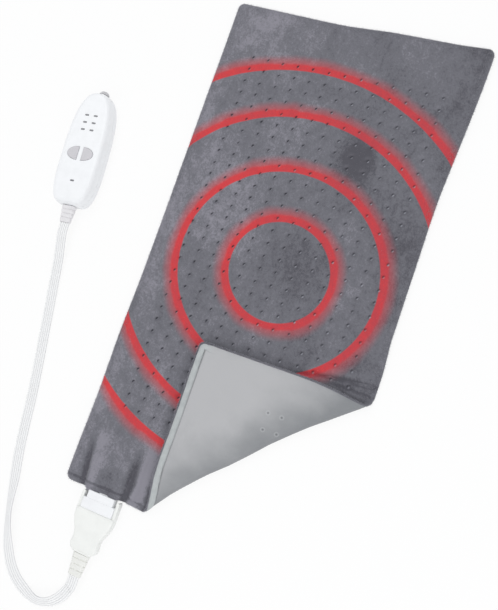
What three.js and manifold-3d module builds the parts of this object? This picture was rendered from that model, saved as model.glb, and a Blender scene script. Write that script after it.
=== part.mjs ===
// Heating pad with a plug-in handset: a plush pad with one corner folded over, the connector at its hem,
// a flat cord and the handset that it leads to. Millimetres, +Z up.
// The origin is the middle of the pad's underside, on the table that everything lies on.
// +X goes across the pad and +Y along it, away from its connector.
import * as THREE from 'three';
import { mergeVertices } from 'three/addons/utils/BufferGeometryUtils.js';
import Module from 'manifold-3d';

const wasm = await Module();
wasm.setup();

// Clearances and steps
const gap = 0.3; // between pieces that touch
const overrun = 2; // how far a cut runs past a face
const snap = 0.001; // points nearer than this are one
const cornerSteps = 4;
const plugSideSteps = 18;
const gripSteps = 8;
const roundSides = 12;

// Pad covers and the layers between them
const padWidth = 305;
const padLength = 610;
const padCorner = 8; // radius of the corners in plan
const leastCorner = 1.2; // of an inner layer's corners
const padDraw = 1; // how far each long side draws in at its middle
const backThickness = 1;
const feltThickness = 1.5;
const wireThickness = 1.8;
const wireSlack = 0.6; // room for the wire between the felts
const plushThickness = 2.5;
const crownRise = 0.8; // the middle stands above the margin
const rimThickness = 3; // plush turned down round the edge
const rimRoll = 18; // how far in the edge's roundness reaches
const pipingWidth = 5;
const pipingHeight = 2.4;
const pipingProud = 1; // the bead stands above the lining on the folded corner

// Sewn tufts
const tuftPitchX = 19.4;
const tuftPitchY = 15.3;
const tuftDepth = 1.3;
const tuftSideMargin = 4.4; // flat plush between the tufts and the round of the right edge
const tuftTopMargin = 58.1; // plain plush along the top edge
const tuftHemMargin = 8.6; // plain plush above the rise over the socket
const tuftFoldMargin = 6; // plain plush between the tufts and the fold

// Folded corner
const foldFromSocket = 23.4; // from the socket's tail to where the fold crosses the hem
const foldEase = 0.35; // half the gap between the two layers of plush
const foldSteps = 6;

// Heating wire
const wireRows = 12;
const wireFromTop = 55; // the highest row, from the top edge
const wireFromSides = 24.5; // the rows' right ends and the long run up the left side, from their edges
const wireFromRiser = 22; // from that long run to the rows' left ends
const wireRiserBend = 8;
const wireTurnRise = 27.7; // from the socket's tail up to where the lead turns off towards the riser
const wireRowsRise = 65.7; // from the socket's tail up to the lowest row
const leadSpacing = 12; // between the wire's two ends at the socket
const bayDepth = 50; // room without felt behind the hem
const fuseRadius = 1.7;
const fuseLength = 11;
const sensorSize = 4;
const sensorThickness = 2.4;
const fromTail = 2; // between the socket's tail and the fuse or sensor

// Socket in the hem, seen along X, Y and Z
const socketMargin = 5.2; // plain plush between the round of the left edge and the rise over the socket
const socketReach = 21; // from the hem to the seam with the plug
const socketTail = 34; // inside the hem
const tailWidth = 32;
const tailThickness = 7;
const neckWidth = 34;
const neckLength = 9; // outside the hem, beside the latch slots
const neckThickness = 11.4;
const headWidth = 40.8;
const headThickness = 12.4;
const socketEdge = 1.6; // edge rounding
const swellSlope = 14; // how far beside the tail the plush sinks back
const mouthWidth = 29;
const mouthHeight = 6.6;
const mouthDepth = 15;
const pinCount = 4;
const pinPitch = 6.4;
const pinRadius = 0.9;
const pinReach = 11; // into the mouth
const pinTail = 6; // behind the mouth

// Plug
const plugLength = 48;
const plugBesideArm = 0.2; // from a latch arm's side to the plug's widest place
const plugThickness = 13;
const plugLift = 0.2; // the plug's underside above the table
const plugWall = 1.6;
const plugEdge = 2.2; // edge rounding
const carrierFromEnd = 2; // from the carrier's face to the mouth's end
const carrierTail = 12; // inside the plug
const contactWall = 0.4;
const contactLength = 16;
const contactSink = 0.5; // behind the carrier's face

// Latches on the plug's sides
const latchArm = 3.4; // width of an arm
const latchFromHem = 2.4; // from an arm's tip to the hem
const latchGrip = 30; // from the seam back along the plug's side
const latchDepth = 5; // width of the grip
const latchPivot = 5; // behind the seam
const latchPinRadius = 1.2;
const latchTip = 1.2; // rounding of an arm's tip
const gripRibs = 5;
const gripRibPitch = 3;
const gripRibWidth = 1.2;
const gripRibDepth = 0.5;
const gripRibsAt = 11; // the first rib, behind the seam

// Reliefs and the flat cord
const reliefLength = 25; // on the plug
const reliefWidth = 20.4;
const reliefTipWidth = 15.6;
const reliefStep = 2; // from the plug's face down to its relief
const reliefTipThickness = 5;
const handReliefLength = 21; // on the handset
const handReliefWidth = 18.6;
const handReliefTipWidth = 14.6;
const handReliefThickness = 10;
const reliefSegments = 4;
const reliefGroove = 0.9; // depth and width of the grooves between segments
const reliefFlange = 1.4; // thickness and reach of the rim that holds it in
const reliefBar = 2.6; // width of the bars that bridge the grooves
const reliefBarSink = 0.35; // below the segments' faces
const cordWidth = 13;
const cordThickness = 3;
const cordSteps = 60;
const cordStraight = 13; // straight out of a relief
const leanAngle = 35 * Math.PI / 180; // how far the ribbon leans out in its bends

// Handset
const handFromSocketX = -173.7; // the bottom end's middle, from the seam between the socket and the plug
const handFromSocketY = 325;
const handTurn = 5.2 * Math.PI / 180;
const handLength = 148;
const handHalfWidth = 28.6;
const handHeight = 22.5;
const handSplit = 10.5; // height of the seam between the shells
const handWall = 2;
const handFaceInset = 6.5; // the flat face starts this far in
const handSideSteps = 20;

// Handset buttons, lights and board
const buttonsAt = 65; // from the bottom end
const buttonSpan = 35.4; // over both
const buttonHeight = 17.2;
const buttonSplit = 6; // between them
const buttonPlay = 0.35; // round each button
const buttonProud = 1;
const buttonEdge = 0.6;
const buttonFlange = 1.2; // reach and thickness of the rim under the face
const buttonTravel = 0.8;
const buttonSteps = 14;
const stemRadius = 2.4;
const lightLength = 5;
const lightWidth = 1.8;
const lightPitchX = 12.2;
const lightPitchY = 9.5;
const lightRows = 3;
const lightsAt = 96.5; // the lowest row, from the bottom end
const powerLightAt = 29.6;
const lightProud = 0.15;
const screwRadius = 1.4;
const screwHeadRadius = 2.8;
const screwHeadHeight = 1.5;
const screwSink = 2; // head below the back
const screwLedge = 1.9; // thickness that a head bears on
const screwLength = 15;
const screwFromEnd = 24;
const postRadius = 3.4;
const postMargin = 0.7; // between a post and the side wall, beyond the gap
const bossRadius = 4.6;
const boardThickness = 1.6;
const boardInset = 7; // from the handset's outline
const switchSize = 6;
const switchHeight = 3.4;
const plungerRadius = 1.6;
const plungerHeight = 1;
const partsAt = 44; // the board's tall parts, from the bottom end
const partsX = 9;
const capacitorRadius = 4;
const triacWidth = 10;
const triacDepth = 4.5;
const tallPartRoom = 3.6; // between the tall parts and the front shell
const glandRadius = 6.5;
const glandTipRadius = 4.6;
const glandNeck = 4;
const glandBore = 2.6;
const glandProud = 4.4;
const glandFlange = 1.4;
const glandX = 2.3;
const saddleDepth = 2; // what a relief or gland is held in, behind the end wall
const saddleRim = 1.2;

// Outlines as shares of their length and half width, from the cord's end or the seam onwards
const handShares = [[0, 0.37], [0.012, 0.6], [0.05, 0.78], [0.11, 0.895], [0.19, 0.965], [0.3, 1],
  [0.45, 1], [0.58, 0.99], [0.7, 0.945], [0.8, 0.865], [0.89, 0.735], [0.955, 0.55], [0.988, 0.36], [1, 0.2]];
const plugShares = [[0, 0.985], [0.1, 1], [0.24, 0.965], [0.38, 0.86], [0.52, 0.725], [0.64, 0.675],
  [0.74, 0.675], [0.83, 0.69], [0.91, 0.64], [0.965, 0.52], [1, 0.43]];
// Edges of the shells and buttons as shares of how far in and how deep they reach
const frontEdgeShares = [[1, 0], [0.5, 0.08], [0.25, 0.25], [0.1, 0.56]];
const backEdgeShares = [[0.7, 0], [0.22, 0.07], [0.06, 0.23]];
const plugEdgeShares = [[1, 0], [0.3, 0.3], [0, 1]];
const softEdgeShare = 0.3;
const ovalShare = 0.45; // corner radius of an oval section, of its thickness
// The part of a relief in its housing's wall, as shares of the relief's width and thickness
const reliefNeckShares = [0.66, 0.58];
const sideBarShare = 0.34; // how far from the middle a groove's two bars stand, of the relief's width
const mitreShare = 0.5; // least share of a corner's mitre that is kept
const wallOverlapShare = 0.8; // where a saddle starts in its wall
// The edge of the plush as shares of how far in its roundness reaches and of the margin's height
const rimShares = [[0.05, 0], [0, 0.17], [0, 0.46], [0.12, 0.78], [0.45, 0.94], [1, 1]];
// The ribbon cord's centre line on the table, from the handset's relief to the plug's, seen from the seam
// between the socket and the plug
const cordRoute = [[-165.4, 258, 4.6], [-160.4, 228, 2.6], [-154.6, 198, 1.8], [-148.5, 168, 1.8],
  [-142.3, 138, 1.8], [-136.4, 108, 1.8], [-131.6, 80, 1.8], [-127.1, 50, 1.8], [-121, 18, 1.8],
  [-113, -13, 1.8], [-104.8, -42, 1.8], [-95.5, -69, 1.8], [-84, -90, 1.8], [-68.5, -105, 1.8],
  [-50.5, -113.6, 1.8], [-33, -116, 1.8], [-18.5, -111.6, 1.8], [-8, -102, 2.2], [-2.3, -90, 3.4]];
const cordLeans = [[0.67, 0.1], [0.9, 0.07]]; // where it leans out and how far that reaches, as shares

// Heights and places worked out from the layers and the edges
const lowerFelt = backThickness + gap;
const wireLevel = lowerFelt + feltThickness + wireSlack + wireThickness / 2;
const upperFelt = wireLevel + wireThickness / 2 + gap;
const plushInner = upperFelt + feltThickness + gap;
const padTop = plushInner + plushThickness;
const marginTop = padTop - crownRise;
const hemY = -padLength / 2;
const seamY = hemY - socketReach;
const socketX = rimRoll + padDraw + socketMargin + swellSlope + gap + tailWidth / 2 - padWidth / 2;
const tailEnd = hemY + socketTail + gap;
const bayEnd = tailEnd + bayDepth;
const handX = socketX + handFromSocketX;
const handY = seamY + handFromSocketY;
const liningInset = rimThickness + gap + pipingWidth + gap;
const plugMiddle = Math.max(plugLift + plugThickness / 2, pipingHeight + gap + tailThickness / 2);
const plugHalfWidth = headWidth / 2 + gap + latchArm + plugBesideArm;
const carrierDepth = mouthDepth - carrierFromEnd;
const latchReach = socketReach - latchFromHem;
const latchThickness = plugThickness - 2 * (plugWall + 2 * gap);
const reliefThickness = plugThickness - 2 * reliefStep;
const swell = plugMiddle + tailThickness / 2 + gap - plushInner;
const foldOffset = socketX + tailWidth / 2 + gap + foldFromSocket - hemY; // x - y along the fold's axis
const foldHeight = padTop + foldEase;
const bendLength = Math.PI * foldHeight / 2;
const foldLines = Array.from({ length: foldSteps + 1 }, (_, k) => bendLength * k / foldSteps);

// Colours and finishes
function paint(color, roughness, metalness = 0) {
  return new THREE.MeshStandardMaterial({ color, roughness, metalness });
}

const plush = paint(0x73737c, 0.95);
const lining = paint(0xb4b4b6, 0.9);
const bead = paint(0xc0c4c4, 0.85);
const felt = paint(0xe6e4de, 1);
const wireRed = paint(0xb8472f, 0.6);
const white = paint(0xf4f5f6, 0.45);
const warmWhite = paint(0xefefea, 0.5);
const cordWhite = paint(0xf0f1f1, 0.55);
const grey = paint(0xcdcbce, 0.5);
const smoke = paint(0x5a5a60, 0.25);
const green = paint(0x2f6b46, 0.6);
const black = paint(0x222326, 0.5);
const brass = paint(0xc9a557, 0.3, 1);
const steel = paint(0x9a9da1, 0.35, 1);

const root = new THREE.Group();
root.name = 'heating_pad';
const connector = new THREE.Group();
connector.position.set(socketX, seamY, plugMiddle);
const handset = new THREE.Group();
handset.position.set(handX, handY, 0);
handset.rotation.z = handTurn;
root.add(connector, handset);

function put(name, geometry, material, group = root) {
  const mesh = new THREE.Mesh(geometry, material);
  mesh.name = name;
  group.add(mesh);
  return mesh;
}

// A closed surface grown from rings of points that run counter-clockwise seen from above.
class Skin {
  points = [];
  faces = [];

  add(points) {
    const first = this.points.length;
    this.points.push(...points);
    return points.map((_, i) => first + i);
  }

  band(from, to) {
    from.forEach((corner, i) => {
      const next = (i + 1) % from.length;
      this.faces.push(corner, from[next], to[next]);
      this.faces.push(corner, to[next], to[i]);
    });
  }

  fill(loop, holes, upwards) {
    const flat = ring => ring.map(i => new THREE.Vector2(this.points[i].x, this.points[i].y));
    const all = [loop, ...holes].flat();
    const triangles = THREE.ShapeUtils.triangulateShape(flat(loop), holes.map(flat));
    const turns = triangles.map(([a, b, c]) => {
      const [p, q, r] = flat([all[a], all[b], all[c]]);
      return q.sub(p).cross(r.sub(p));
    });
    const rising = turns.reduce((sum, turn) => sum + turn) > 0;
    triangles.forEach(([a, b, c]) => {
      this.faces.push(all[a], ...(rising === upwards ? [all[b], all[c]] : [all[c], all[b]]));
    });
  }

  // A tube through rings that stand one after the other, with flat ends.
  tube(rings) {
    const close = ring => ring.slice(2).forEach((corner, i) => this.faces.push(ring[0], ring[i + 1], corner));
    close([...rings[0]].reverse());
    rings.slice(1).forEach((ring, i) => this.band(rings[i], ring));
    close(rings.at(-1));
  }

  geometry(bend = point => point) {
    const geometry = new THREE.BufferGeometry().setFromPoints(this.points.map(bend));
    geometry.setIndex(this.faces);
    return geometry;
  }
}

// Rings one above the other, closed at both ends.
function stack(levels) {
  const skin = new Skin();
  const rings = levels.map(([outline, z]) => skin.add(outline.map(p => new THREE.Vector3(p.x, p.y, z))));
  skin.fill(rings[0], [], false);
  rings.slice(1).forEach((ring, i) => skin.band(rings[i], ring));
  skin.fill(rings.at(-1), [], true);
  return skin.geometry();
}

function solid(geometry) {
  const bare = geometry.clone();
  bare.deleteAttribute('uv');
  bare.deleteAttribute('normal');
  const merged = mergeVertices(bare, snap);
  const vertProperties = new Float32Array(merged.attributes.position.array);
  const triVerts = new Uint32Array(merged.index.array);
  return new wasm.Manifold(new wasm.Mesh({ numProp: 3, vertProperties, triVerts }));
}

function meshed(manifold) {
  const { vertProperties, triVerts } = manifold.getMesh();
  const geometry = new THREE.BufferGeometry();
  geometry.setAttribute('position', new THREE.BufferAttribute(vertProperties, 3));
  geometry.setIndex(new THREE.BufferAttribute(triVerts, 1));
  return geometry;
}

const cut = (body, tools) => meshed(tools.reduce((left, tool) => left.subtract(solid(tool)), solid(body)));
const join = (body, others) => meshed(others.reduce((sum, other) => sum.add(solid(other)), solid(body)));

function block(x0, x1, y0, y1, z0, z1) {
  const box = new THREE.BoxGeometry(x1 - x0, y1 - y0, z1 - z0);
  return box.translate((x0 + x1) / 2, (y0 + y1) / 2, (z0 + z1) / 2);
}

function post(radius, x, y, z0, z1, sides = roundSides) {
  const cylinder = new THREE.CylinderGeometry(radius, radius, z1 - z0, sides).rotateX(Math.PI / 2);
  return cylinder.translate(x, y, (z0 + z1) / 2);
}

// A rod along Y, which is a cylinder's own way.
function rod(radius, x, z, y0, y1, sides = roundSides) {
  return new THREE.CylinderGeometry(radius, radius, y1 - y0, sides).translate(x, (y0 + y1) / 2, z);
}

// Turns what was built upwards to run away from the pad, along the cord's way out.
const outwards = geometry => geometry.rotateX(Math.PI / 2);

function roundedBox(halfWidth, halfHeight, radius, steps = cornerSteps) {
  const points = [];
  for (let corner = 0; corner < 4; corner++) {
    const signX = corner === 0 || corner === 3 ? 1 : -1;
    const signY = corner < 2 ? 1 : -1;
    for (let step = 0; step <= steps; step++) {
      const angle = (corner + step / steps) * Math.PI / 2;
      points.push(new THREE.Vector2(
        signX * (halfWidth - radius) + radius * Math.cos(angle),
        signY * (halfHeight - radius) + radius * Math.sin(angle)));
    }
  }
  return points;
}

// Moves an outline inwards along its own normals.
function inset(outline, distance) {
  return outline.map((point, i) => {
    const before = outline[(i + outline.length - 1) % outline.length];
    const after = outline[(i + 1) % outline.length];
    const way = point.clone().sub(before).normalize();
    const on = after.clone().sub(point).normalize();
    const bisector = way.clone().add(on).normalize();
    const reach = distance / Math.max(bisector.dot(way), mitreShare);
    return new THREE.Vector2(point.x - bisector.y * reach, point.y + bisector.x * reach);
  });
}

// One side's curve through the shares, in a length and a half width, as points from its start to its end.
function sideCurve(shares, length, halfWidth, steps) {
  const places = shares.map(([along, out]) => new THREE.Vector2(out * halfWidth, along * length));
  return new THREE.SplineCurve(places).getSpacedPoints(steps);
}

const mirrored = side => [...side, ...side.map(p => new THREE.Vector2(-p.x, p.y)).reverse()];

// How far out a side lies at one place along it. Its points run upwards.
function sideAt(side, y) {
  const i = Math.max(side.findIndex(p => p.y >= y), 1);
  const [a, b] = [side[i - 1], side[i]];
  return a.x + (b.x - a.x) * (y - a.y) / (b.y - a.y);
}

// Pad: sheets that are drawn flat and folded over at one corner
const foldNormal = new THREE.Vector3(1, -1, 0).normalize();
const pastFold = p => (p.x - p.y - foldOffset) / Math.SQRT2;

function fold(point) {
  const past = pastFold(point);
  if (past <= 0) {
    return point.clone();
  }
  const reach = foldHeight - point.z;
  const angle = Math.min(past / bendLength, 1) * Math.PI;
  const out = past < bendLength ? reach * Math.sin(angle) : bendLength - past;
  const folded = point.clone().addScaledVector(foldNormal, out - past);
  folded.z = foldHeight - reach * Math.cos(angle);
  return folded;
}

// How much the plush swells over the socket's tail.
function swellAt(x, y) {
  const beside = Math.max(Math.abs(x - socketX) - tailWidth / 2 - gap, 0) / swellSlope;
  const behind = Math.max(y - tailEnd, 0) / bayDepth;
  return swell * Math.max(1 - beside, 0) * Math.max(1 - behind, 0);
}

const hemStops = [-2, -1, 0].map(step => step * swellSlope / 2 - tailWidth / 2 - gap);
const hemPlaces = [...hemStops, 0, ...hemStops.map(stop => -stop).reverse()].map(stop => socketX + stop);
const longSideShares = [0.12, 0.3, 0.5, 0.7, 0.88];

// Keeps an outline's side points off the strip that bends, so that every ring is cut alike.
const clearOfBend = p => pastFold(p) < 0 || pastFold(p) > bendLength + rimRoll;

// The outline at a distance in from the edge, with the hem end cut short by a trim.
function padLoop(fromEdge, trim = 0) {
  const right = padWidth / 2 - fromEdge;
  const top = padLength / 2 - fromEdge;
  const bottom = hemY + fromEdge + trim;
  const radius = Math.max(padCorner - fromEdge, leastCorner);
  const loop = [];
  const corner = (x, y, start) => {
    for (let step = 0; step <= cornerSteps; step++) {
      const angle = (start + step / cornerSteps) * Math.PI / 2;
      loop.push(new THREE.Vector3(x + radius * Math.cos(angle), y + radius * Math.sin(angle), 0));
    }
  };
  const side = (sign, share) => {
    const y = hemY + share * padLength;
    const edge = new THREE.Vector3(sign * padWidth / 2, y, 0);
    if (clearOfBend(edge) && y > bottom + radius) {
      loop.push(new THREE.Vector3(sign * right, y, 0));
    }
  };
  corner(-right + radius, bottom + radius, 2);
  hemPlaces.forEach(x => loop.push(new THREE.Vector3(x, bottom, 0)));
  corner(right - radius, bottom + radius, 3);
  longSideShares.forEach(share => side(1, share));
  corner(right - radius, top - radius, 0);
  corner(-right + radius, top - radius, 1);
  longSideShares.toReversed().forEach(share => side(-1, share));
  const drawn = p => new THREE.Vector3(p.x * (1 - drawIn(p.y) / (padWidth / 2)), p.y, 0);
  return cutAtFold(loop.map(drawn));
}

// How far the long sides draw in between the corners.
const drawIn = y => padDraw * Math.sin(Math.PI * (y - hemY) / padLength);

// Adds a point wherever an outline crosses a line of the fold.
function cutAtFold(loop) {
  return loop.flatMap((point, i) => {
    const next = loop[(i + 1) % loop.length];
    const start = pastFold(point);
    const run = pastFold(next) - start;
    const hits = foldLines.map(line => (line - start) / run).filter(share => share > 0 && share < 1);
    hits.sort((a, b) => a - b);
    return [point, ...hits.map(share => point.clone().lerp(next, share))];
  });
}

const lifted = (loop, height) => loop.map(p => new THREE.Vector3(p.x, p.y, height(p.x, p.y)));

// Closes a sheet's flat part, the strips of its bend and its folded part one by one.
function padFill(skin, ring, upwards, holes = []) {
  const edges = [-Infinity, ...foldLines, Infinity];
  edges.slice(1).forEach((far, k) => {
    const inside = i => pastFold(skin.points[i]) > edges[k] - snap && pastFold(skin.points[i]) < far + snap;
    skin.fill(ring.filter(inside), k === 0 ? holes : [], upwards);
  });
}

// A grid of cells that are each drawn down to a tuft in the middle. Returns the grid's rim.
function tuftCells(skin, columns, rows, keep) {
  const grid = rows.map(y => skin.add(columns.map(x => new THREE.Vector3(x, y, padTop))));
  const kept = rows.slice(1).map(y => columns.slice(1).filter(x => keep(x, y)).length);
  const used = kept.filter(count => count > 0).length;
  for (let r = 0; r < used; r++) {
    for (let c = 0; c < kept[r]; c++) {
      const x = (columns[c] + columns[c + 1]) / 2;
      const y = (rows[r] + rows[r + 1]) / 2;
      const [tuft] = skin.add([new THREE.Vector3(x, y, padTop - tuftDepth)]);
      const rim = [grid[r][c], grid[r + 1][c], grid[r + 1][c + 1], grid[r][c + 1]];
      rim.forEach((corner, i) => skin.faces.push(tuft, corner, rim[(i + 1) % rim.length]));
    }
  }
  const edge = [];
  for (let r = 0; r < used; r++) {
    edge.push(grid[r][0]);
  }
  edge.push(...grid[used].slice(0, kept[used - 1] + 1));
  for (let r = used - 1; r > 0; r--) {
    edge.push(...grid[r].slice(kept[r], kept[r - 1] + 1));
  }
  edge.push(...grid[0].slice(1, kept[0] + 1).reverse());
  return edge;
}

const bayRows = [tailEnd, bayEnd];

// Replaces an outline's stretch at the socket by a strip that climbs over it.
// Returns the outline that is left.
function overSocket(skin, ring, height, upwards) {
  const first = cornerSteps + 1;
  const front = ring.slice(first, first + hemPlaces.length);
  const rows = bayRows.map(y => skin.add(hemPlaces.map(x => new THREE.Vector3(x, y, height(x, y)))));
  [front, ...rows.slice(0, -1)].forEach((row, r) => row.slice(1).forEach((right, c) => {
    const [left, farLeft, farRight] = [row[c], rows[r][c], rows[r][c + 1]];
    skin.faces.push(...(upwards ? [left, right, farRight, left, farRight, farLeft]
      : [left, farRight, right, left, farLeft, farRight]));
  }));
  return [
    ...ring.slice(0, first + 1), ...rows.slice(0, -1).map(row => row[0]), ...rows.at(-1),
    ...rows.slice(0, -1).map(row => row.at(-1)).reverse(), ...ring.slice(first + hemPlaces.length - 1),
  ];
}

function plushCover() {
  const skin = new Skin();
  const ceiling = (x, y) => plushInner + swellAt(x, y);
  const outside = (x, y) => padTop + swellAt(x, y);
  const inner = padLoop(rimThickness);
  const rings = [lifted(inner, ceiling), lifted(inner, () => 0)];
  rimShares.forEach(([inwards, up]) => {
    const height = up * marginTop;
    const rises = height > plushInner / 2;
    rings.push(lifted(padLoop(inwards * rimRoll), (x, y) => height + (rises ? swellAt(x, y) : 0)));
  });
  const indexes = rings.map(ring => skin.add(ring));
  padFill(skin, overSocket(skin, indexes[0], ceiling, false), false);
  indexes.slice(1).forEach((ring, i) => skin.band(indexes[i], ring));
  const edge = padWidth / 2 - padDraw - rimRoll;
  const right = edge - tuftSideMargin;
  const bottom = bayEnd + tuftHemMargin;
  const across = Math.floor((right + edge) / tuftPitchX);
  const along = Math.round((padLength / 2 - tuftTopMargin - bottom) / tuftPitchY);
  const columns = Array.from({ length: across + 1 }, (_, c) => right - (across - c) * tuftPitchX);
  const rows = Array.from({ length: along + 1 }, (_, r) => bottom + (along - r) * tuftPitchY);
  const flat = (x, y) => pastFold({ x, y }) < -tuftFoldMargin;
  const tufts = tuftCells(skin, columns, rows, flat);
  padFill(skin, overSocket(skin, indexes.at(-1), outside, true), true, [tufts]);
  const neckSlot = block(
    socketX - tailWidth / 2 - gap, socketX + tailWidth / 2 + gap,
    hemY - overrun, hemY + rimThickness + overrun,
    plugMiddle - tailThickness / 2 - gap, plugMiddle + tailThickness / 2 + gap);
  return cut(skin.geometry(fold), [neckSlot]);
}

// A plain sheet between two heights.
function layer(fromEdge, bottom, top, trim = 0) {
  const skin = new Skin();
  const loop = padLoop(fromEdge, trim);
  const under = skin.add(lifted(loop, () => bottom));
  const over = skin.add(lifted(loop, () => top));
  padFill(skin, under, false);
  skin.band(under, over);
  padFill(skin, over, true);
  return skin.geometry(fold);
}

// The rolled seam between the plush and the lining, a closed loop that stands proud where it is folded up.
function piping() {
  const skin = new Skin();
  const near = rimThickness + gap;
  const far = near + pipingWidth;
  const round = pipingWidth / 4;
  const proud = (x, y) => -pipingProud * Math.min(Math.max(pastFold({ x, y }) / bendLength, 0), 1);
  const side = (x, y) => proud(x, y) / 2;
  const rings = [
    lifted(padLoop(far - round), proud), lifted(padLoop(near + round), proud),
    lifted(padLoop(near), (x, y) => side(x, y) + pipingHeight / 3),
    lifted(padLoop(near + round), () => pipingHeight),
    lifted(padLoop(far - round), () => pipingHeight),
    lifted(padLoop(far), (x, y) => side(x, y) + pipingHeight / 3),
  ].map(ring => skin.add(ring));
  rings.forEach((ring, i) => skin.band(ring, rings[(i + 1) % rings.length]));
  return skin.geometry(fold);
}

// Heating wire: one run up the left side, then rows across the pad down to the socket
class Route {
  constructor(x, y, heading) {
    this.points = [new THREE.Vector2(x, y)];
    this.heading = heading * Math.PI / 2;
  }

  ahead(distance) {
    const way = new THREE.Vector2(Math.cos(this.heading), Math.sin(this.heading));
    this.points.push(this.points.at(-1).clone().addScaledVector(way, distance));
    return this;
  }

  turn(quarters, radius) {
    const steps = Math.abs(quarters) * 2;
    const step = quarters * Math.PI / 2 / steps;
    const chord = 2 * radius * Math.sin(Math.abs(step) / 2);
    for (let i = 0; i < steps; i++) {
      this.heading += step / 2;
      this.ahead(chord);
      this.heading += step / 2;
    }
    return this;
  }
}

const wireTop = padLength / 2 - wireFromTop;
const wireBottom = tailEnd + wireRowsRise;
const wireRight = padWidth / 2 - wireFromSides;
const wireRiserX = wireFromSides - padWidth / 2;
const wireLeft = wireRiserX + wireFromRiser;
const wireTurnLevel = tailEnd + wireTurnRise;
const wirePitch = (wireTop - wireBottom) / (wireRows - 1);
const leadX = [-1, 1].map(sign => socketX + sign * leadSpacing / 2);

function wireRoute() {
  const bend = wireRiserBend;
  const turn = wirePitch / 2;
  const route = new Route(leadX[0], tailEnd, 1);
  route.ahead(wireTurnLevel - bend - tailEnd).turn(1, bend);
  route.ahead(leadX[0] - wireRiserX - 2 * bend).turn(-1, bend);
  route.ahead(wireTop - wireTurnLevel - 2 * bend).turn(-1, bend);
  route.ahead(wireRight - turn - wireRiserX - bend);
  for (let row = 1; row < wireRows; row++) {
    const rightwards = row % 2 === 0;
    route.turn(rightwards ? 2 : -2, turn);
    const last = row === wireRows - 1;
    const span = wireRight - wireLeft - 2 * turn;
    route.ahead(last ? wireRight - turn - leadX[1] - bend : span);
  }
  route.turn(1, bend);
  return route.ahead(wireBottom - bend - tailEnd).points;
}

function heatingWire() {
  const flat = wireRoute().map(p => new THREE.Vector3(p.x, p.y, wireLevel));
  const path = flat.flatMap((point, i) => {
    const next = flat[i + 1] ?? point;
    const run = pastFold(next) - pastFold(point);
    const hits = foldLines.map(line => (line - pastFold(point)) / run)
      .filter(share => share > 0 && share < 1)
      .sort((a, b) => a - b);
    return [point, ...hits.map(share => point.clone().lerp(next, share))];
  });
  const skin = new Skin();
  const sides = roundSides / 2;
  const rings = path.map((point, i) => {
    const way = path[Math.min(i + 1, path.length - 1)].clone().sub(path[Math.max(i - 1, 0)]).normalize();
    return skin.add(Array.from({ length: sides }, (_, k) => {
      const angle = 2 * Math.PI * k / sides;
      const across = Math.cos(angle) * wireThickness / 2;
      const up = Math.sin(angle) * wireThickness / 2;
      return point.clone().add(new THREE.Vector3(-way.y * across, way.x * across, up));
    }));
  });
  skin.tube(rings);
  return skin.geometry(fold);
}

const feltInset = liningInset + gap;
put('cover_front', plushCover(), plush);
put('edge_piping', piping(), bead);
put('cover_back', layer(liningInset, 0, backThickness), lining);
put('insulation_lower', layer(feltInset, lowerFelt, lowerFelt + feltThickness, bayDepth), felt);
put('insulation_upper', layer(feltInset, upperFelt, upperFelt + feltThickness, bayDepth), felt);
put('heating_wire', heatingWire(), wireRed);

// Thermal fuse and temperature sensor, one beside each lead
const besideLead = wireThickness / 2 + gap;
const fuseX = leadX[0] - besideLead - fuseRadius;
const fuseY = tailEnd - gap + fromTail;
put('thermal_fuse', rod(fuseRadius, fuseX, lowerFelt + fuseRadius, fuseY, fuseY + fuseLength), steel);
const sensorX = leadX[1] + besideLead;
const sensor = block(
  sensorX, sensorX + sensorSize, fuseY, fuseY + sensorSize, lowerFelt, lowerFelt + sensorThickness);
put('temperature_sensor', sensor, black);

// Socket: a tail in the hem, a neck beside the latch slots and a head with the mouth
const mouthPins = Array.from({ length: pinCount }, (_, i) => (i - (pinCount - 1) / 2) * pinPitch);

function socketHousing() {
  const box = (width, thickness) => roundedBox(width / 2, thickness / 2, socketEdge);
  const tail = box(tailWidth, tailThickness);
  const neck = box(neckWidth, neckThickness);
  const head = box(headWidth, headThickness);
  const body = outwards(stack([
    [tail, -socketReach - socketTail], [tail, gap - socketReach], [neck, gap - socketReach],
    [neck, neckLength - socketReach], [head, neckLength - socketReach], [head, 0]]));
  const mouth = block(
    -mouthWidth / 2, mouthWidth / 2, -overrun, mouthDepth, -mouthHeight / 2, mouthHeight / 2);
  const holeEnd = mouthDepth + pinTail + gap;
  const holes = mouthPins.map(x => rod(pinRadius + gap, x, 0, mouthDepth - overrun, holeEnd));
  return cut(body, [mouth, ...holes]);
}

put('socket_housing', socketHousing(), white, connector);
mouthPins.forEach((x, i) => {
  const nose = pinRadius / 2;
  const profile = [[0, -nose], [nose, -nose], [pinRadius, 0], [pinRadius, pinReach + pinTail - nose],
    [0, pinReach + pinTail - nose]];
  const pin = new THREE.LatheGeometry(profile.map(([r, y]) => new THREE.Vector2(r, y)), roundSides);
  pin.translate(x, mouthDepth - pinReach + nose, 0);
  put(`socket_pin_${i + 1}`, pin, brass, connector);
});

// Plug: two shells round a contact carrier, with a latch in each side
const plugSide = sideCurve(plugShares, plugLength, plugHalfWidth, plugSideSteps)
  .map(p => new THREE.Vector2(p.x, -p.y))
  .reverse();
const plugOutline = mirrored(plugSide);

// A tray from its closed face to its open rim. The profile runs from the face's edge to its side.
function tray(outline, face, rim, wall, profile) {
  const way = Math.sign(rim - face);
  const outer = [...profile.map(([inwards, deep]) => [inwards, face + way * deep]), [0, rim]];
  const inner = profile.slice(1).reverse()
    .map(([inwards, deep]) => [inwards + wall, face + way * Math.max(deep, wall)]);
  const levels = [...outer, [wall, rim], ...inner].map(([inwards, z]) => [inset(outline, inwards), z]);
  return stack(way > 0 ? levels : levels.reverse());
}

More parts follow.
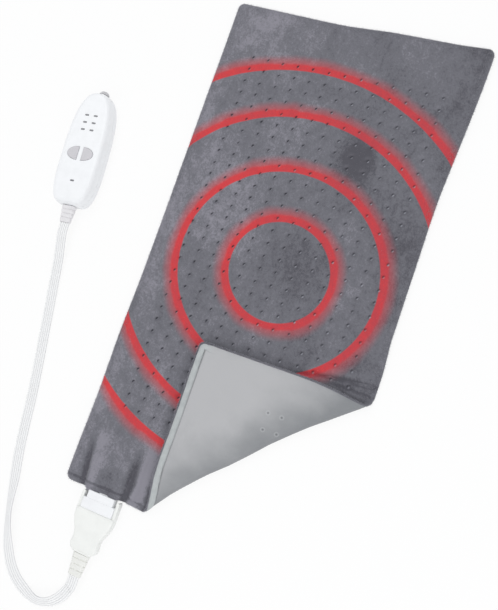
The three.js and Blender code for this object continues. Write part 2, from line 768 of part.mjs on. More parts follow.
const plugProfile = plugEdgeShares.map(([inwards, deep]) => [inwards * plugEdge, deep * plugEdge]);
const carrierHalfWidth = mouthWidth / 2 - gap;
const carrierHalfHeight = mouthHeight / 2 - gap;
const latchHalf = latchThickness / 2;
const pivotX = sideAt(plugSide, -latchPivot) - latchDepth / 2;
const reliefBox = (width, thickness) => roundedBox(width / 2, thickness / 2, thickness * ovalShare, 3);

// A relief along its way out of a housing, from the rim inside the wall to its tip, with grooves that are
// bridged by a bar in the middle and by two at the sides in turn.
function relief(length, width, thickness, tipWidth, tipThickness, wall) {
  const neckWide = width * reliefNeckShares[0];
  const neckThick = thickness * reliefNeckShares[1];
  const rim = reliefBox(neckWide + 2 * reliefFlange, neckThick + 2 * reliefFlange);
  const neck = reliefBox(neckWide, neckThick);
  const levels = [[rim, -wall - gap - reliefFlange], [rim, -wall - gap], [neck, -wall - gap], [neck, gap]];
  const bars = [];
  const pitch = length / reliefSegments;
  for (let i = 0; i < reliefSegments; i++) {
    const at = share => {
      const along = (i + share) / reliefSegments;
      return [width + (tipWidth - width) * along, thickness + (tipThickness - thickness) * along];
    };
    const last = i === reliefSegments - 1;
    const end = last ? 1 : 1 - reliefGroove / pitch;
    levels.push([reliefBox(...at(0)), gap + i * pitch], [reliefBox(...at(end)), gap + (i + end) * pitch]);
    if (!last) {
      const groove = reliefBox(...at(end).map(size => size - 2 * reliefGroove));
      levels.push([groove, gap + (i + end) * pitch], [groove, gap + (i + 1) * pitch]);
      const [wide, thick] = at(1);
      const places = i % 2 === 0 ? [0] : [-wide * sideBarShare, wide * sideBarShare];
      places.forEach(x => bars.push(block(
        x - reliefBar / 2, x + reliefBar / 2, reliefBarSink - thick / 2, thick / 2 - reliefBarSink,
        gap + (i + end) * pitch - reliefBarSink, gap + (i + 1) * pitch + reliefBarSink)));
    }
  }
  return outwards(join(stack(levels), bars));
}

// A relief's neck with room round it, from one depth behind a housing's end to another.
function reliefRoom(width, thickness, room, from, to) {
  const neck = reliefBox(width * reliefNeckShares[0] + 2 * room, thickness * reliefNeckShares[1] + 2 * room);
  return outwards(stack([[neck, -from], [neck, -to]]));
}

function plugShell(face, rim) {
  const shell = tray(plugOutline, face, rim, plugWall, plugProfile);
  const front = block(
    -carrierHalfWidth - gap, carrierHalfWidth + gap, -plugWall - overrun, overrun,
    -carrierHalfHeight - gap, carrierHalfHeight + gap);
  const arms = [-1, 1].map(sign => {
    const [near, far] = [headWidth / 2, plugHalfWidth + overrun].map(x => sign * x).sort((a, b) => a - b);
    return block(near, far, -plugWall - overrun, overrun, -latchHalf - gap, latchHalf + gap);
  });
  const sides = [-1, 1].map(sign => {
    const [near, far] = [reliefWidth / 2, plugHalfWidth + overrun].map(x => sign * x).sort((a, b) => a - b);
    return block(near, far, -latchGrip - gap, -plugWall - gap, -latchHalf - gap, latchHalf + gap);
  });
  const exit = reliefRoom(reliefWidth, reliefThickness, gap, plugWall + overrun, -overrun);
  return cut(shell, [front, ...arms, ...sides, exit.translate(0, -plugLength, 0)]);
}

const plugHalf = plugThickness / 2;
const pivots = [-1, 1].map(sign => post(
  latchPinRadius, sign * pivotX, -latchPivot, plugWall / 2 - plugHalf, latchHalf));
put('plug_bottom_shell', join(plugShell(-plugHalf, -gap / 2), pivots), warmWhite, connector);
put('plug_top_shell', plugShell(plugHalf, gap / 2), warmWhite, connector);

const contactRadius = pinRadius + gap + contactWall;
const carrier = block(
  -carrierHalfWidth, carrierHalfWidth, -carrierTail, carrierDepth, -carrierHalfHeight, carrierHalfHeight);
const bores = mouthPins.map(x => rod(
  contactRadius + gap, x, 0, -carrierTail - overrun, carrierDepth + overrun));
put('plug_contact_carrier', cut(carrier, bores), white, connector);
mouthPins.forEach((x, i) => {
  const profile = [[pinRadius + gap, 0], [contactRadius, 0], [contactRadius, contactLength],
    [pinRadius + gap, contactLength], [pinRadius + gap, 0]];
  const sleeve = new THREE.LatheGeometry(profile.map(([r, y]) => new THREE.Vector2(r, y)), roundSides);
  sleeve.translate(x, carrierDepth - contactSink - contactLength, 0);
  put(`plug_contact_${i + 1}`, sleeve, brass, connector);
});

// A latch rocks on its pin: its grip goes in and its arm swings out beside the socket's head.
function latch(sign) {
  const armIn = headWidth / 2 + gap;
  const armOut = armIn + latchArm;
  const start = -plugWall - 2 * gap;
  const grip = Array.from({ length: gripSteps + 1 }, (_, i) => {
    const y = -latchGrip + (latchGrip + start) * i / gripSteps;
    return new THREE.Vector2(sideAt(plugSide, y), y);
  });
  const right = [
    ...grip,
    new THREE.Vector2(armOut, latchReach - latchTip), new THREE.Vector2(armOut - latchTip, latchReach),
    new THREE.Vector2(armIn + latchTip, latchReach), new THREE.Vector2(armIn, latchReach - latchTip),
    new THREE.Vector2(armIn, start),
    ...grip.toReversed().map(p => new THREE.Vector2(p.x - latchDepth, p.y)),
  ];
  const outline = sign > 0 ? right : right.map(p => new THREE.Vector2(-p.x, p.y)).reverse();
  const body = stack([[outline, -latchHalf], [outline, latchHalf]]);
  const ribs = Array.from({ length: gripRibs }, (_, i) => {
    const y = -gripRibsAt - i * gripRibPitch;
    const rib = new THREE.BoxGeometry(2 * gripRibDepth, gripRibWidth, latchThickness - 2 * gripRibWidth);
    return rib.translate(sign * sideAt(plugSide, y), y, 0);
  });
  const half = latchHalf + overrun;
  return cut(join(body, ribs), [post(latchPinRadius + gap, sign * pivotX, -latchPivot, -half, half)]);
}

put('latch_left', latch(-1), warmWhite, connector);
put('latch_right', latch(1), warmWhite, connector);
const plugRelief = relief(
  reliefLength, reliefWidth, reliefThickness, reliefTipWidth, reliefTipThickness, plugWall);
put('plug_strain_relief', plugRelief.translate(0, -plugLength, 0), warmWhite, connector);

// Handset shells
const handSide = sideCurve(handShares, handLength, handHalfWidth, handSideSteps);
const handOutline = mirrored(handSide);
const handCeiling = handHeight - handWall;
const handDepth = handHeight - handSplit;
const bossTop = screwSink + screwHeadHeight + gap + screwLedge;
const boardLevel = bossTop + gap;
const boardTop = boardLevel + boardThickness;
const screwX = sideAt(handSide, handLength - screwFromEnd) - handWall - gap - postMargin - postRadius;
const screwPlaces = [-1, 1].flatMap(sign => [
  [sign * screwX, screwFromEnd], [sign * screwX, handLength - screwFromEnd]]);

function dShape(sign) {
  const halfSplit = buttonSplit / 2;
  const reach = buttonSpan / 2 - halfSplit;
  const points = Array.from({ length: buttonSteps + 1 }, (_, i) => {
    const angle = (i / buttonSteps - 1 / 2) * Math.PI;
    return new THREE.Vector2(halfSplit + reach * Math.cos(angle), buttonHeight / 2 * Math.sin(angle));
  });
  return sign > 0 ? points : points.map(p => new THREE.Vector2(-p.x, p.y)).reverse();
}

const lightShape = grow => roundedBox(
  lightLength / 2 + grow, lightWidth / 2 + grow, lightWidth * ovalShare + grow, 2);
const lightPlaces = [];
for (let row = 0; row < lightRows; row++) {
  const y = lightsAt + row * lightPitchY;
  lightPlaces.push([-lightPitchX / 2, y], [lightPitchX / 2, y]);
}
const powerLight = [0, powerLightAt];

// The end walls' openings, and the saddles behind them that hold the relief and the gland.
const endSeat = handWall + saddleDepth;
const handOpenings = () => [
  reliefRoom(handReliefWidth, handReliefThickness, gap, endSeat + overrun, -overrun)
    .translate(0, 0, handSplit),
  rod(glandNeck + gap, glandX, handSplit, handLength - endSeat - overrun, handLength + overrun),
];

function saddles(low, high) {
  const from = handWall * wallOverlapShare;
  const rim = gap + saddleRim;
  const whole = [
    reliefRoom(handReliefWidth, handReliefThickness, rim, endSeat, from).translate(0, 0, handSplit),
    rod(glandNeck + rim, glandX, handSplit, handLength - endSeat, handLength - from),
  ];
  const half = block(-handHalfWidth, handHalfWidth, 0, handLength, low, high);
  return whole.map(saddle => cut(saddle, [half]));
}

function frontShell() {
  const profile = frontEdgeShares.map(([inwards, deep]) => [inwards * handFaceInset, deep * handDepth]);
  const shell = tray(handOutline, handHeight, handSplit + gap / 2, handWall, profile);
  const postEnd = handCeiling + handWall / 2;
  const posts = screwPlaces.map(([x, y]) => post(postRadius, x, y, boardTop + gap, postEnd));
  const screwEnd = screwSink + screwHeadHeight + screwLength + gap;
  const pilots = screwPlaces.map(([x, y]) => post(screwRadius + gap, x, y, boardTop - overrun, screwEnd));
  const through = (outline, x, y) => stack([
    [outline, handCeiling - overrun], [outline, handHeight + overrun]]).translate(x, y, 0);
  const buttons = [-1, 1].map(sign => through(inset(dShape(sign), -buttonPlay), 0, buttonsAt));
  const lights = [...lightPlaces, powerLight].map(([x, y]) => through(lightShape(gap), x, y));
  const body = join(shell, [...posts, ...saddles(0, handSplit + gap / 2)]);
  return cut(body, [...pilots, ...buttons, ...lights, ...handOpenings()]);
}

function backShell() {
  const profile = backEdgeShares.map(([inwards, deep]) => [inwards * handFaceInset, deep * handSplit]);
  const shell = tray(handOutline, 0, handSplit - gap / 2, handWall, profile);
  const bosses = screwPlaces.map(([x, y]) => post(bossRadius, x, y, handWall / 2, bossTop));
  const seats = screwPlaces.map(([x, y]) => post(
    screwHeadRadius + gap, x, y, -overrun, screwSink + screwHeadHeight + gap));
  const shanks = screwPlaces.map(([x, y]) => post(screwRadius + gap, x, y, -overrun, bossTop + overrun));
  const body = join(shell, [...bosses, ...saddles(handSplit - gap / 2, handHeight)]);
  return cut(body, [...seats, ...shanks, ...handOpenings()]);
}

put('controller_front_shell', frontShell(), white, handset);
put('controller_back_shell', backShell(), white, handset);

// Handset inside: board, switches, buttons, lights and screws
const boardOutline = inset(handOutline, boardInset);
const boardHoles = screwPlaces.map(([x, y]) => post(
  screwRadius + gap, x, y, boardLevel - overrun, boardTop + overrun));
const board = stack([[boardOutline, boardLevel], [boardOutline, boardTop]]);
put('circuit_board', cut(board, boardHoles), green, handset);

const stemX = buttonSplit / 2 + (buttonSpan - buttonSplit) / 4;
const switchTop = boardTop + gap + switchHeight;
const flangeLevel = handCeiling - gap - buttonFlange;

function button(sign) {
  const outline = dShape(sign);
  const rim = inset(outline, -buttonFlange);
  const top = handHeight + buttonProud;
  const cap = stack([
    [rim, flangeLevel], [rim, flangeLevel + buttonFlange], [outline, flangeLevel + buttonFlange],
    [outline, top - buttonEdge],
    [inset(outline, buttonEdge * softEdgeShare), top - buttonEdge * softEdgeShare],
    [inset(outline, buttonEdge), top]]).translate(0, buttonsAt, 0);
  const stemEnd = switchTop + plungerHeight + gap + buttonTravel;
  return join(cap, [post(stemRadius, sign * stemX, buttonsAt, stemEnd, flangeLevel + buttonFlange / 2)]);
}

function tactSwitch(sign) {
  const half = switchSize / 2;
  const body = block(sign * stemX - half, sign * stemX + half, buttonsAt - half, buttonsAt + half,
    boardTop + gap, switchTop);
  const plunger = post(
    plungerRadius, sign * stemX, buttonsAt, switchTop - switchHeight / 2, switchTop + plungerHeight);
  return join(body, [plunger]);
}

put('button_power', button(-1), grey, handset);
put('button_heat', button(1), grey, handset);
put('switch_power', tactSwitch(-1), black, handset);
put('switch_heat', tactSwitch(1), black, handset);

const lightPipe = ([x, y]) => stack([
  [lightShape(0), boardTop + gap], [lightShape(0), handHeight + lightProud]]).translate(x, y, 0);
lightPlaces.forEach((place, i) => put(`light_${i + 1}`, lightPipe(place), smoke, handset));
put('light_power', lightPipe(powerLight), smoke, handset);

const tallPartTop = handCeiling - tallPartRoom;
const capacitor = post(capacitorRadius, -partsX, partsAt, boardTop + gap, tallPartTop);
put('capacitor', capacitor, black, handset);
const triac = block(
  partsX - triacWidth / 2, partsX + triacWidth / 2, partsAt - triacDepth / 2, partsAt + triacDepth / 2,
  boardTop + gap, tallPartTop);
put('triac', triac, black, handset);

screwPlaces.forEach(([x, y], i) => {
  const profile = [[0, 0], [screwHeadRadius, 0], [screwHeadRadius, screwHeadHeight],
    [screwRadius, screwHeadHeight], [screwRadius, screwHeadHeight + screwLength - screwRadius],
    [0, screwHeadHeight + screwLength]];
  const screw = new THREE.LatheGeometry(profile.map(([r, z]) => new THREE.Vector2(r, z)), roundSides);
  put(`screw_${i + 1}`, screw.rotateX(Math.PI / 2).translate(x, y, screwSink), steel, handset);
});

// Reliefs and the mains gland of the handset
const handRelief = relief(
  handReliefLength, handReliefWidth, handReliefThickness, handReliefTipWidth, reliefTipThickness, endSeat);
put('controller_strain_relief', handRelief.translate(0, 0, handSplit), warmWhite, handset);
const glandInside = -endSeat - gap;
const glandProfile = [
  [glandBore, glandInside - glandFlange], [glandNeck + glandFlange, glandInside - glandFlange],
  [glandNeck + glandFlange, glandInside], [glandNeck, glandInside], [glandNeck, gap],
  [glandRadius, gap], [glandRadius, glandProud / 2], [glandTipRadius, glandProud], [glandBore, glandProud],
  [glandBore, glandInside - glandFlange]];
const gland = new THREE.LatheGeometry(glandProfile.map(([r, y]) => new THREE.Vector2(r, y)), roundSides);
put('mains_gland', gland.translate(glandX, handLength, handSplit), grey, handset);

// Ribbon cord: flat on the table, leaning out in its bends
function ribbonCord() {
  const leave = [handReliefLength + 2 * gap, handReliefLength + 2 * gap + cordStraight]
    .map(out => new THREE.Vector3(0, -out, handSplit).applyAxisAngle(new THREE.Vector3(0, 0, 1), handTurn))
    .map(p => p.add(new THREE.Vector3(handX, handY, 0)));
  const arrive = [cordStraight, 0]
    .map(out => new THREE.Vector3(socketX, seamY - plugLength - reliefLength - 2 * gap - out, plugMiddle));
  const route = cordRoute.map(([x, y, z]) => new THREE.Vector3(socketX + x, seamY + y, z));
  const curve = new THREE.CatmullRomCurve3([...leave, ...route, ...arrive], false, 'centripetal');
  const section = roundedBox(cordWidth / 2, cordThickness / 2, cordThickness * ovalShare, 2);
  const skin = new Skin();
  const rings = Array.from({ length: cordSteps + 1 }, (_, i) => {
    const share = i / cordSteps;
    const way = curve.getTangentAt(share);
    const lean = leanAngle * cordLeans.reduce((most, [middle, reach]) => {
      const off = Math.min(Math.abs(share - middle) / reach, 1);
      return Math.max(most, Math.cos(off * Math.PI / 2) ** 2);
    }, 0);
    const across = new THREE.Vector3(-way.y, way.x, 0).normalize().applyAxisAngle(way, lean);
    const up = new THREE.Vector3().crossVectors(way, across);
    const middle = curve.getPointAt(share);
    middle.z += Math.sin(lean) * cordWidth / 2;
    return skin.add(section.map(p => middle.clone().addScaledVector(across, p.x).addScaledVector(up, p.y)));
  });
  skin.tube(rings);
  return skin.geometry();
}

put('ribbon_cord', ribbonCord(), cordWhite);

export default root;
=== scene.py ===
import math
import bmesh
import bpy
import numpy as np
from mathutils import Matrix, Vector


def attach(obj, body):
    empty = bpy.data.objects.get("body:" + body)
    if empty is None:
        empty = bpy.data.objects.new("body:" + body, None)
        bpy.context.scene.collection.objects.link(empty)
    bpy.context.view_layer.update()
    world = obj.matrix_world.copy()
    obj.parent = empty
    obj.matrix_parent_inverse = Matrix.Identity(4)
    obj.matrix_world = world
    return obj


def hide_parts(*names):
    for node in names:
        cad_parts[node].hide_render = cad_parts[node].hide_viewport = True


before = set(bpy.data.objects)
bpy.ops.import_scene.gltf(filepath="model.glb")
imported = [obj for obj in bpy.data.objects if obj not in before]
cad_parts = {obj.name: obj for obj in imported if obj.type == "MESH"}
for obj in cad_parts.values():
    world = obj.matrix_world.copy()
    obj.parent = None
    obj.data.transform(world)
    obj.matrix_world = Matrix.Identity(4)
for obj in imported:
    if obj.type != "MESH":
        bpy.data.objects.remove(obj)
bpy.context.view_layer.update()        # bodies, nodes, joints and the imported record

mm = 0.001        # every size below is in millimetres


def placed(name, data):
    piece = bpy.data.objects.new(name, data)
    bpy.context.scene.collection.objects.link(piece)
    return piece


# The camera, as it stood for the photograph
camera = {
    "place": (226.7, -132.1, 789.2), "right": (0.911, 0.334, -0.2419), "up": (-0.2936, 0.9372, 0.1884),
    "lens": 42.82, "sensor": 36.0, "sees": (10, 20000),
}


def placeCamera():
    data = bpy.data.cameras.new("photoCamera")
    data.lens, data.sensor_width = camera["lens"], camera["sensor"]
    data.clip_start, data.clip_end = (far * mm for far in camera["sees"])
    piece = placed("photoCamera", data)
    right = Vector(camera["right"]).normalized()
    up = Vector(camera["up"])
    up = (up - right * up.dot(right)).normalized()
    turn = Matrix((right, up, right.cross(up))).transposed()
    piece.matrix_world = Matrix.Translation(Vector(camera["place"]) * mm) @ turn.to_4x4()
    bpy.context.scene.camera = piece


placeCamera()


# Mesh helpers. Points are in millimetres and rings run counter-clockwise seen from where they go.
def gridFaces(rows, columns, closed=False, first=0):
    row = np.arange(rows - 1)[:, None] * columns
    column = np.arange(columns if closed else columns - 1)[None, :]
    after = (column + 1) % columns
    corners = [row + column, row + after, row + columns + after, row + columns + column]
    return (np.stack([c + 0 * row + 0 * column for c in corners], -1).reshape(-1, 4) + first).tolist()


def loft(rings, closeStart=True, closeEnd=True):
    count = len(rings[0])
    points = np.concatenate([np.asarray(ring, float) for ring in rings])
    faces = gridFaces(len(rings), count, closed=True)
    if closeStart:
        faces.append(list(range(count))[::-1])
    if closeEnd:
        faces.append([len(points) - count + i for i in range(count)])
    return points, faces


def smoothed(mesh, under):
    mesh.shade_smooth()
    mesh.set_sharp_from_angle(angle=math.radians(under))


def painted(mesh, finish):
    mesh.materials.clear()
    mesh.materials.append(finish)


def newMesh(name, points, faces, finish, smoothUnder=38):
    mesh = bpy.data.meshes.new(name)
    mesh.from_pydata((np.asarray(points, float) * mm).tolist(), [], faces)
    mesh.update()
    mesh.materials.append(finish)
    smoothed(mesh, smoothUnder)
    return placed(name, mesh)


# Keeps where each point lay, along a cord or in plan, as a UV map, so that a pattern follows the surface.
def keepMap(piece, name, places):
    layer = piece.data.uv_layers.new(name=name)
    corners = np.zeros(len(piece.data.loops), int)
    piece.data.loops.foreach_get("vertex_index", corners)
    layer.data.foreach_set("uv", places[corners].ravel())


def rowsOf(items, key):
    rows = np.zeros(len(items) * 3)
    items.foreach_get(key, rows)
    return rows.reshape(-1, 3)


def keepValue(piece, name, values):
    layer = piece.data.attributes.new(name, "FLOAT", "POINT")
    layer.data.foreach_set("value", np.asarray(values, np.float32))


# Puts a finished piece on its body. replaced names the CAD nodes that it stands for.
def seat(piece, body, replaced=()):
    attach(piece, body)
    if replaced:
        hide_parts(*replaced)
    return piece


# The result of a piece's modifiers as a plain mesh.
def settle(piece):
    whole = piece.evaluated_get(bpy.context.evaluated_depsgraph_get())
    mesh = bpy.data.meshes.new_from_object(whole)
    piece.modifiers.clear()
    old = piece.data
    piece.data = mesh
    bpy.data.meshes.remove(old)
    mesh.name = piece.name
    return piece


def carve(piece, tools, join=False):
    for tool in tools:
        change = piece.modifiers.new("carve", "BOOLEAN")
        change.operation = "UNION" if join else "DIFFERENCE"
        change.solver = "EXACT"
        change.object = tool
    settle(piece)
    for tool in tools:
        bpy.data.objects.remove(tool)
    return piece


# Geometry Nodes that set a part on every point of a mesh, turned and sized by the points' own values.
def makeCopiesTree():
    tree = bpy.data.node_groups.new("copies", "GeometryNodeTree")
    sockets = {}
    for name, way, kind in (("Places", "INPUT", "Geometry"), ("Part", "INPUT", "Object"),
                            ("Finish", "INPUT", "Material"), ("Copies", "OUTPUT", "Geometry")):
        sockets[name] = tree.interface.new_socket(name, in_out=way, socket_type="NodeSocket" + kind)
    nodes, links = tree.nodes, tree.links
    start, end = nodes.new("NodeGroupInput"), nodes.new("NodeGroupOutput")
    spread, info = nodes.new("GeometryNodeInstanceOnPoints"), nodes.new("GeometryNodeObjectInfo")
    real, paint = nodes.new("GeometryNodeRealizeInstances"), nodes.new("GeometryNodeSetMaterial")
    values = []
    for name in ("turn", "size"):
        value = nodes.new("GeometryNodeInputNamedAttribute")
        value.data_type = "FLOAT_VECTOR"
        value.inputs["Name"].default_value = name
        values.append(value.outputs["Attribute"])
    turn = nodes.new("FunctionNodeEulerToRotation")
    links.new(values[0], turn.inputs["Euler"])
    links.new(values[1], spread.inputs["Scale"])
    for giver, output, taker, socket in (
            (turn, "Rotation", spread, "Rotation"), (start, "Places", spread, "Points"),
            (start, "Part", info, "Object"), (info, "Geometry", spread, "Instance"),
            (spread, "Instances", real, "Geometry"), (real, "Geometry", paint, "Geometry"),
            (start, "Finish", paint, "Material"), (paint, "Geometry", end, "Copies")):
        links.new(giver.outputs[output], taker.inputs[socket])
    return tree, sockets["Part"].identifier, sockets["Finish"].identifier


copiesTree, partSocket, finishSocket = makeCopiesTree()


# One mesh with a copy of a part at every place. Each copy's Z axis points along its own way.
def placeCopies(name, places, ways, part, finish, sizes=None, spins=None, smooth=True):
    places = np.asarray(places, float)
    mesh = bpy.data.meshes.new(name)
    mesh.from_pydata((places * mm).tolist(), [], [])
    spins = np.zeros(len(places)) if spins is None else spins
    sizes = np.ones((len(places), 3)) if sizes is None else sizes
    turns = [(Vector(way).to_track_quat("Z", "Y").to_matrix() @ Matrix.Rotation(spin, 3, "Z")).to_euler()
             for way, spin in zip(ways, spins)]
    for key, values in (("turn", turns), ("size", sizes)):
        layer = mesh.attributes.new(key, "FLOAT_VECTOR", "POINT")
        layer.data.foreach_set("vector", np.array([tuple(value) for value in values], np.float32).ravel())
    piece = placed(name, mesh)
    change = piece.modifiers.new("copies", "NODES")
    change.node_group = copiesTree
    change[partSocket] = part
    change[finishSocket] = finish
    settle(piece)
    bpy.data.objects.remove(part)
    if smooth:
        smoothed(piece.data, 40)
    return piece


# Curves through points, centripetal and plain, of the kinds that the CAD's own pieces follow.
def span(b, c, first, last, steps):
    return [b + first * t + (3 * (c - b) - 2 * first - last) * t * t + (2 * (b - c) + first + last) * t ** 3
            for t in np.arange(steps) / steps]


def centripetal(points, steps=40):
    points = [np.array(p, float) for p in points]
    ends = [2 * points[0] - points[1], *points, 2 * points[-1] - points[-2]]
    found = []
    for a, b, c, d in zip(ends, ends[1:], ends[2:], ends[3:]):
        before, here, after = (np.linalg.norm(q - p) ** 0.5 for p, q in ((a, b), (b, c), (c, d)))
        first = ((b - a) / before - (c - a) / (before + here) + (c - b) / here) * here
        last = ((c - b) / here - (d - b) / (here + after) + (d - c) / after) * here
        found += span(b, c, first, last, steps)
    return np.array([*found, points[-1]])


def plainSpline(points, steps=40):
    points = [np.array(p, float) for p in points]
    ends = [points[0], *points, points[-1]]
    found = []
    for a, b, c, d in zip(ends, ends[1:], ends[2:], ends[3:]):
        found += span(b, c, (c - a) / 2, (d - b) / 2, steps)
    return np.array([*found, points[-1]])


# Points spread evenly along a line.
def spaced(line, count):
    run = np.concatenate([[0], np.cumsum(np.linalg.norm(np.diff(line, axis=0), axis=1))])
    places = np.linspace(0, run[-1], count)
    return np.stack([np.interp(places, run, line[:, axis]) for axis in range(line.shape[1])], 1)


def unit(rows, tiny=0.0):
    return rows / (np.linalg.norm(rows, axis=1, keepdims=True) + tiny)


def turnOf(count):
    return np.linspace(0, 2 * math.pi, count, endpoint=False)


def smoothStep(value, start, end):
    share = np.clip((value - start) / (end - start), 0, 1)
    return share * share * (3 - 2 * share)


# Soft bumps of about one size over a plan, from -1 to 1.
def bumps(x, y, size, seed):
    chance = np.random.default_rng(seed)
    lattice = chance.uniform(-1, 1, (128, 128))
    column, row = x / size + 64.3, y / size + 64.7
    left, low = np.floor(column).astype(int), np.floor(row).astype(int)
    across, up = smoothStep(column - left, 0, 1), smoothStep(row - low, 0, 1)
    at = lambda i, j: lattice[(low + j) % 128, (left + i) % 128]
    near = at(0, 0) * (1 - across) + at(1, 0) * across
    far = at(0, 1) * (1 - across) + at(1, 1) * across
    return near * (1 - up) + far * up


# Layers of bumps: each row is their size, height and seed.
def wavesAt(x, y, rows):
    return sum(height * bumps(x, y, size, seed) for size, height, seed in rows)


# Shader maths: a node's output that sums like a number.
class Value:
    def __init__(self, finish, socket):
        self.finish = finish
        self.socket = socket

    def maths(self, operation, *others):
        return self.finish.node("Math", {"operation": operation}, [self, *others])

    def __add__(self, other):
        return self.maths("ADD", other)

    __radd__ = __add__

    def __sub__(self, other):
        return self.maths("SUBTRACT", other)

    def __rsub__(self, other):
        return self.finish.node("Math", {"operation": "SUBTRACT"}, [other, self])

    def __mul__(self, other):
        return self.maths("MULTIPLY", other)

    __rmul__ = __mul__

    def __truediv__(self, other):
        return self.maths("DIVIDE", other)


def colour(code):
    parts = [int(code[i:i + 2], 16) / 255 for i in (0, 2, 4)]
    return (*[p / 12.92 if p <= 0.04045 else ((p + 0.055) / 1.055) ** 2.4 for p in parts], 1)


def howFar(x, y):
    return (x * x + y * y).maths("SQRT")


# A material or world under way. Constants sit on the shader's own sockets.
class Finish:
    def __init__(self, name, constants, home=bpy.data.materials, shader="Principled BSDF"):
        self.material = home.new(name)
        self.material.use_nodes = True
        self.tree = self.material.node_tree
        self.shader = self.tree.nodes[shader]
        for socket, value in constants.items():
            self.shader.inputs[socket].default_value = value

    def node(self, kind, settings=None, values=(), output=0):
        node = self.tree.nodes.new("ShaderNode" + kind)
        for name, setting in (settings or {}).items():
            setattr(node, name, setting)
        for place, value in values.items() if isinstance(values, dict) else enumerate(values):
            self.feed(node.inputs[place], value)
        return Value(self, node.outputs[output])

    def feed(self, socket, value):
        if isinstance(value, Value):
            self.tree.links.new(value.socket, socket)
        else:
            socket.default_value = value

    def give(self, socket, value):
        self.feed(self.shader.inputs[socket], value)

    def objectPlace(self):
        return self.node("TexCoord", output="Object")

    def parts(self, value, count=3):
        return [self.node("SeparateXYZ", None, [value], axis) for axis in range(count)]

    # where a point of the pad lay in plan, in millimetres, and how far past the fold's line
    def plan(self):
        place = self.node("UVMap", {"uv_map": "plan"})
        x, y = (part * (1 / mm) for part in self.parts(place, 2))
        return place, x, y, (x - y - pad["foldAt"]) / rootTwo

    def kept(self, name):
        return self.node("Attribute", {"attribute_name": name}, output="Fac")

    def stretched(self, place, scale, turn=0.0):
        return self.node("Mapping", None, {"Vector": place, "Scale": scale, "Rotation": (0, 0, turn)})

    def noise(self, place, scale, detail=3.0, roughness=0.55, distortion=0.0):
        return self.node("TexNoise", None, {
            "Vector": place, "Scale": scale, "Detail": detail, "Roughness": roughness,
            "Distortion": distortion}, output="Fac")

    # noise finer one way than the other: fine is how many to a metre along X and Y
    def strands(self, place, fine, detail=3.0, roughness=0.55, distortion=0.0, turn=0.0):
        return self.noise(self.stretched(place, (*fine, 1.0), turn), 1.0, detail, roughness, distortion)

    def between(self, value, start, end, low=0.0, high=1.0):
        return self.node("MapRange", {"interpolation_type": "SMOOTHSTEP"}, {
            "Value": value, "From Min": start, "From Max": end, "To Min": low, "To Max": high})

    def mix(self, share, first, second):
        return self.node("Mix", {"data_type": "RGBA"}, {0: share, 6: first, 7: second}, 2)

    def bump(self, height, distance, strength=1.0, under=None):
        values = {"Height": height, "Distance": distance * mm, "Strength": strength}
        if under is not None:
            values["Normal"] = under
        return self.node("Bump", None, values)


# Moulded plastic: a fine spark texture, faint cloudiness and a slightly polished wear.
def plastic(name, shade, rough, grain=0.012, cloud=0.03, clear=0.0, sub=0.0):
    finish = Finish(name, {"Coat Weight": clear, "Coat Roughness": 0.2, "Subsurface Weight": sub,
                           "Subsurface Radius": (0.004, 0.004, 0.004), "Subsurface Scale": 0.3})
    place = finish.objectPlace()
    cloudy = finish.noise(place, 90.0, 3.0)
    base = colour(shade)
    dull = tuple(part * (1 - cloud) for part in base[:3]) + (1,)
    finish.give("Base Color", finish.mix(finish.between(cloudy, 0.35, 0.7), base, dull))
    spark = finish.noise(place, 5200.0, 2.0, 0.6)
    worn = finish.noise(place, 260.0, 4.0, 0.6)
    finish.give("Roughness", rough + 0.1 * (worn - 0.5) + 0.06 * (spark - 0.5))
    finish.give("Normal", finish.bump(spark, grain))
    return finish.material


def metal(name, shade, rough):
    finish = Finish(name, {"Metallic": 1.0})
    place = finish.objectPlace()
    brushed = finish.noise(finish.stretched(place, (900.0, 60.0, 900.0)), 1.0, 3.0)
    base = colour(shade)
    dark = tuple(part * 0.72 for part in base[:3]) + (1,)
    finish.give("Base Color", finish.mix(finish.noise(place, 420.0), base, dark))
    finish.give("Roughness", rough + 0.25 * (brushed - 0.5))
    finish.give("Normal", finish.bump(brushed, 0.01))
    return finish.material


finishes = {
    "white": plastic("whiteShell", "f7f8fa", 0.36),
    "warm": plastic("warmPlastic", "f5f6f3", 0.42, sub=0.08),
    "relief": plastic("reliefPlastic", "eeeeea", 0.55, sub=0.1),
    "lilac": plastic("lilacRelief", "e9e7e9", 0.55, sub=0.1),
    "button": plastic("buttonPlastic", "cfcdd1", 0.42),
    "gland": plastic("glandPlastic", "d9d8da", 0.5),
    "light": plastic("lightLens", "77777c", 0.2, grain=0.002, clear=0.5),
    "black": plastic("blackPlastic", "26272a", 0.5),
    "wire": plastic("wireSleeve", "c4504c", 0.5),
    "board": plastic("circuitBoard", "2c6b46", 0.4, grain=0.006, clear=0.3),
    "brass": metal("brassContact", "c9a557", 0.28),
    "steel": metal("screwSteel", "9a9da1", 0.32),
}
print("plastics and metals ready")

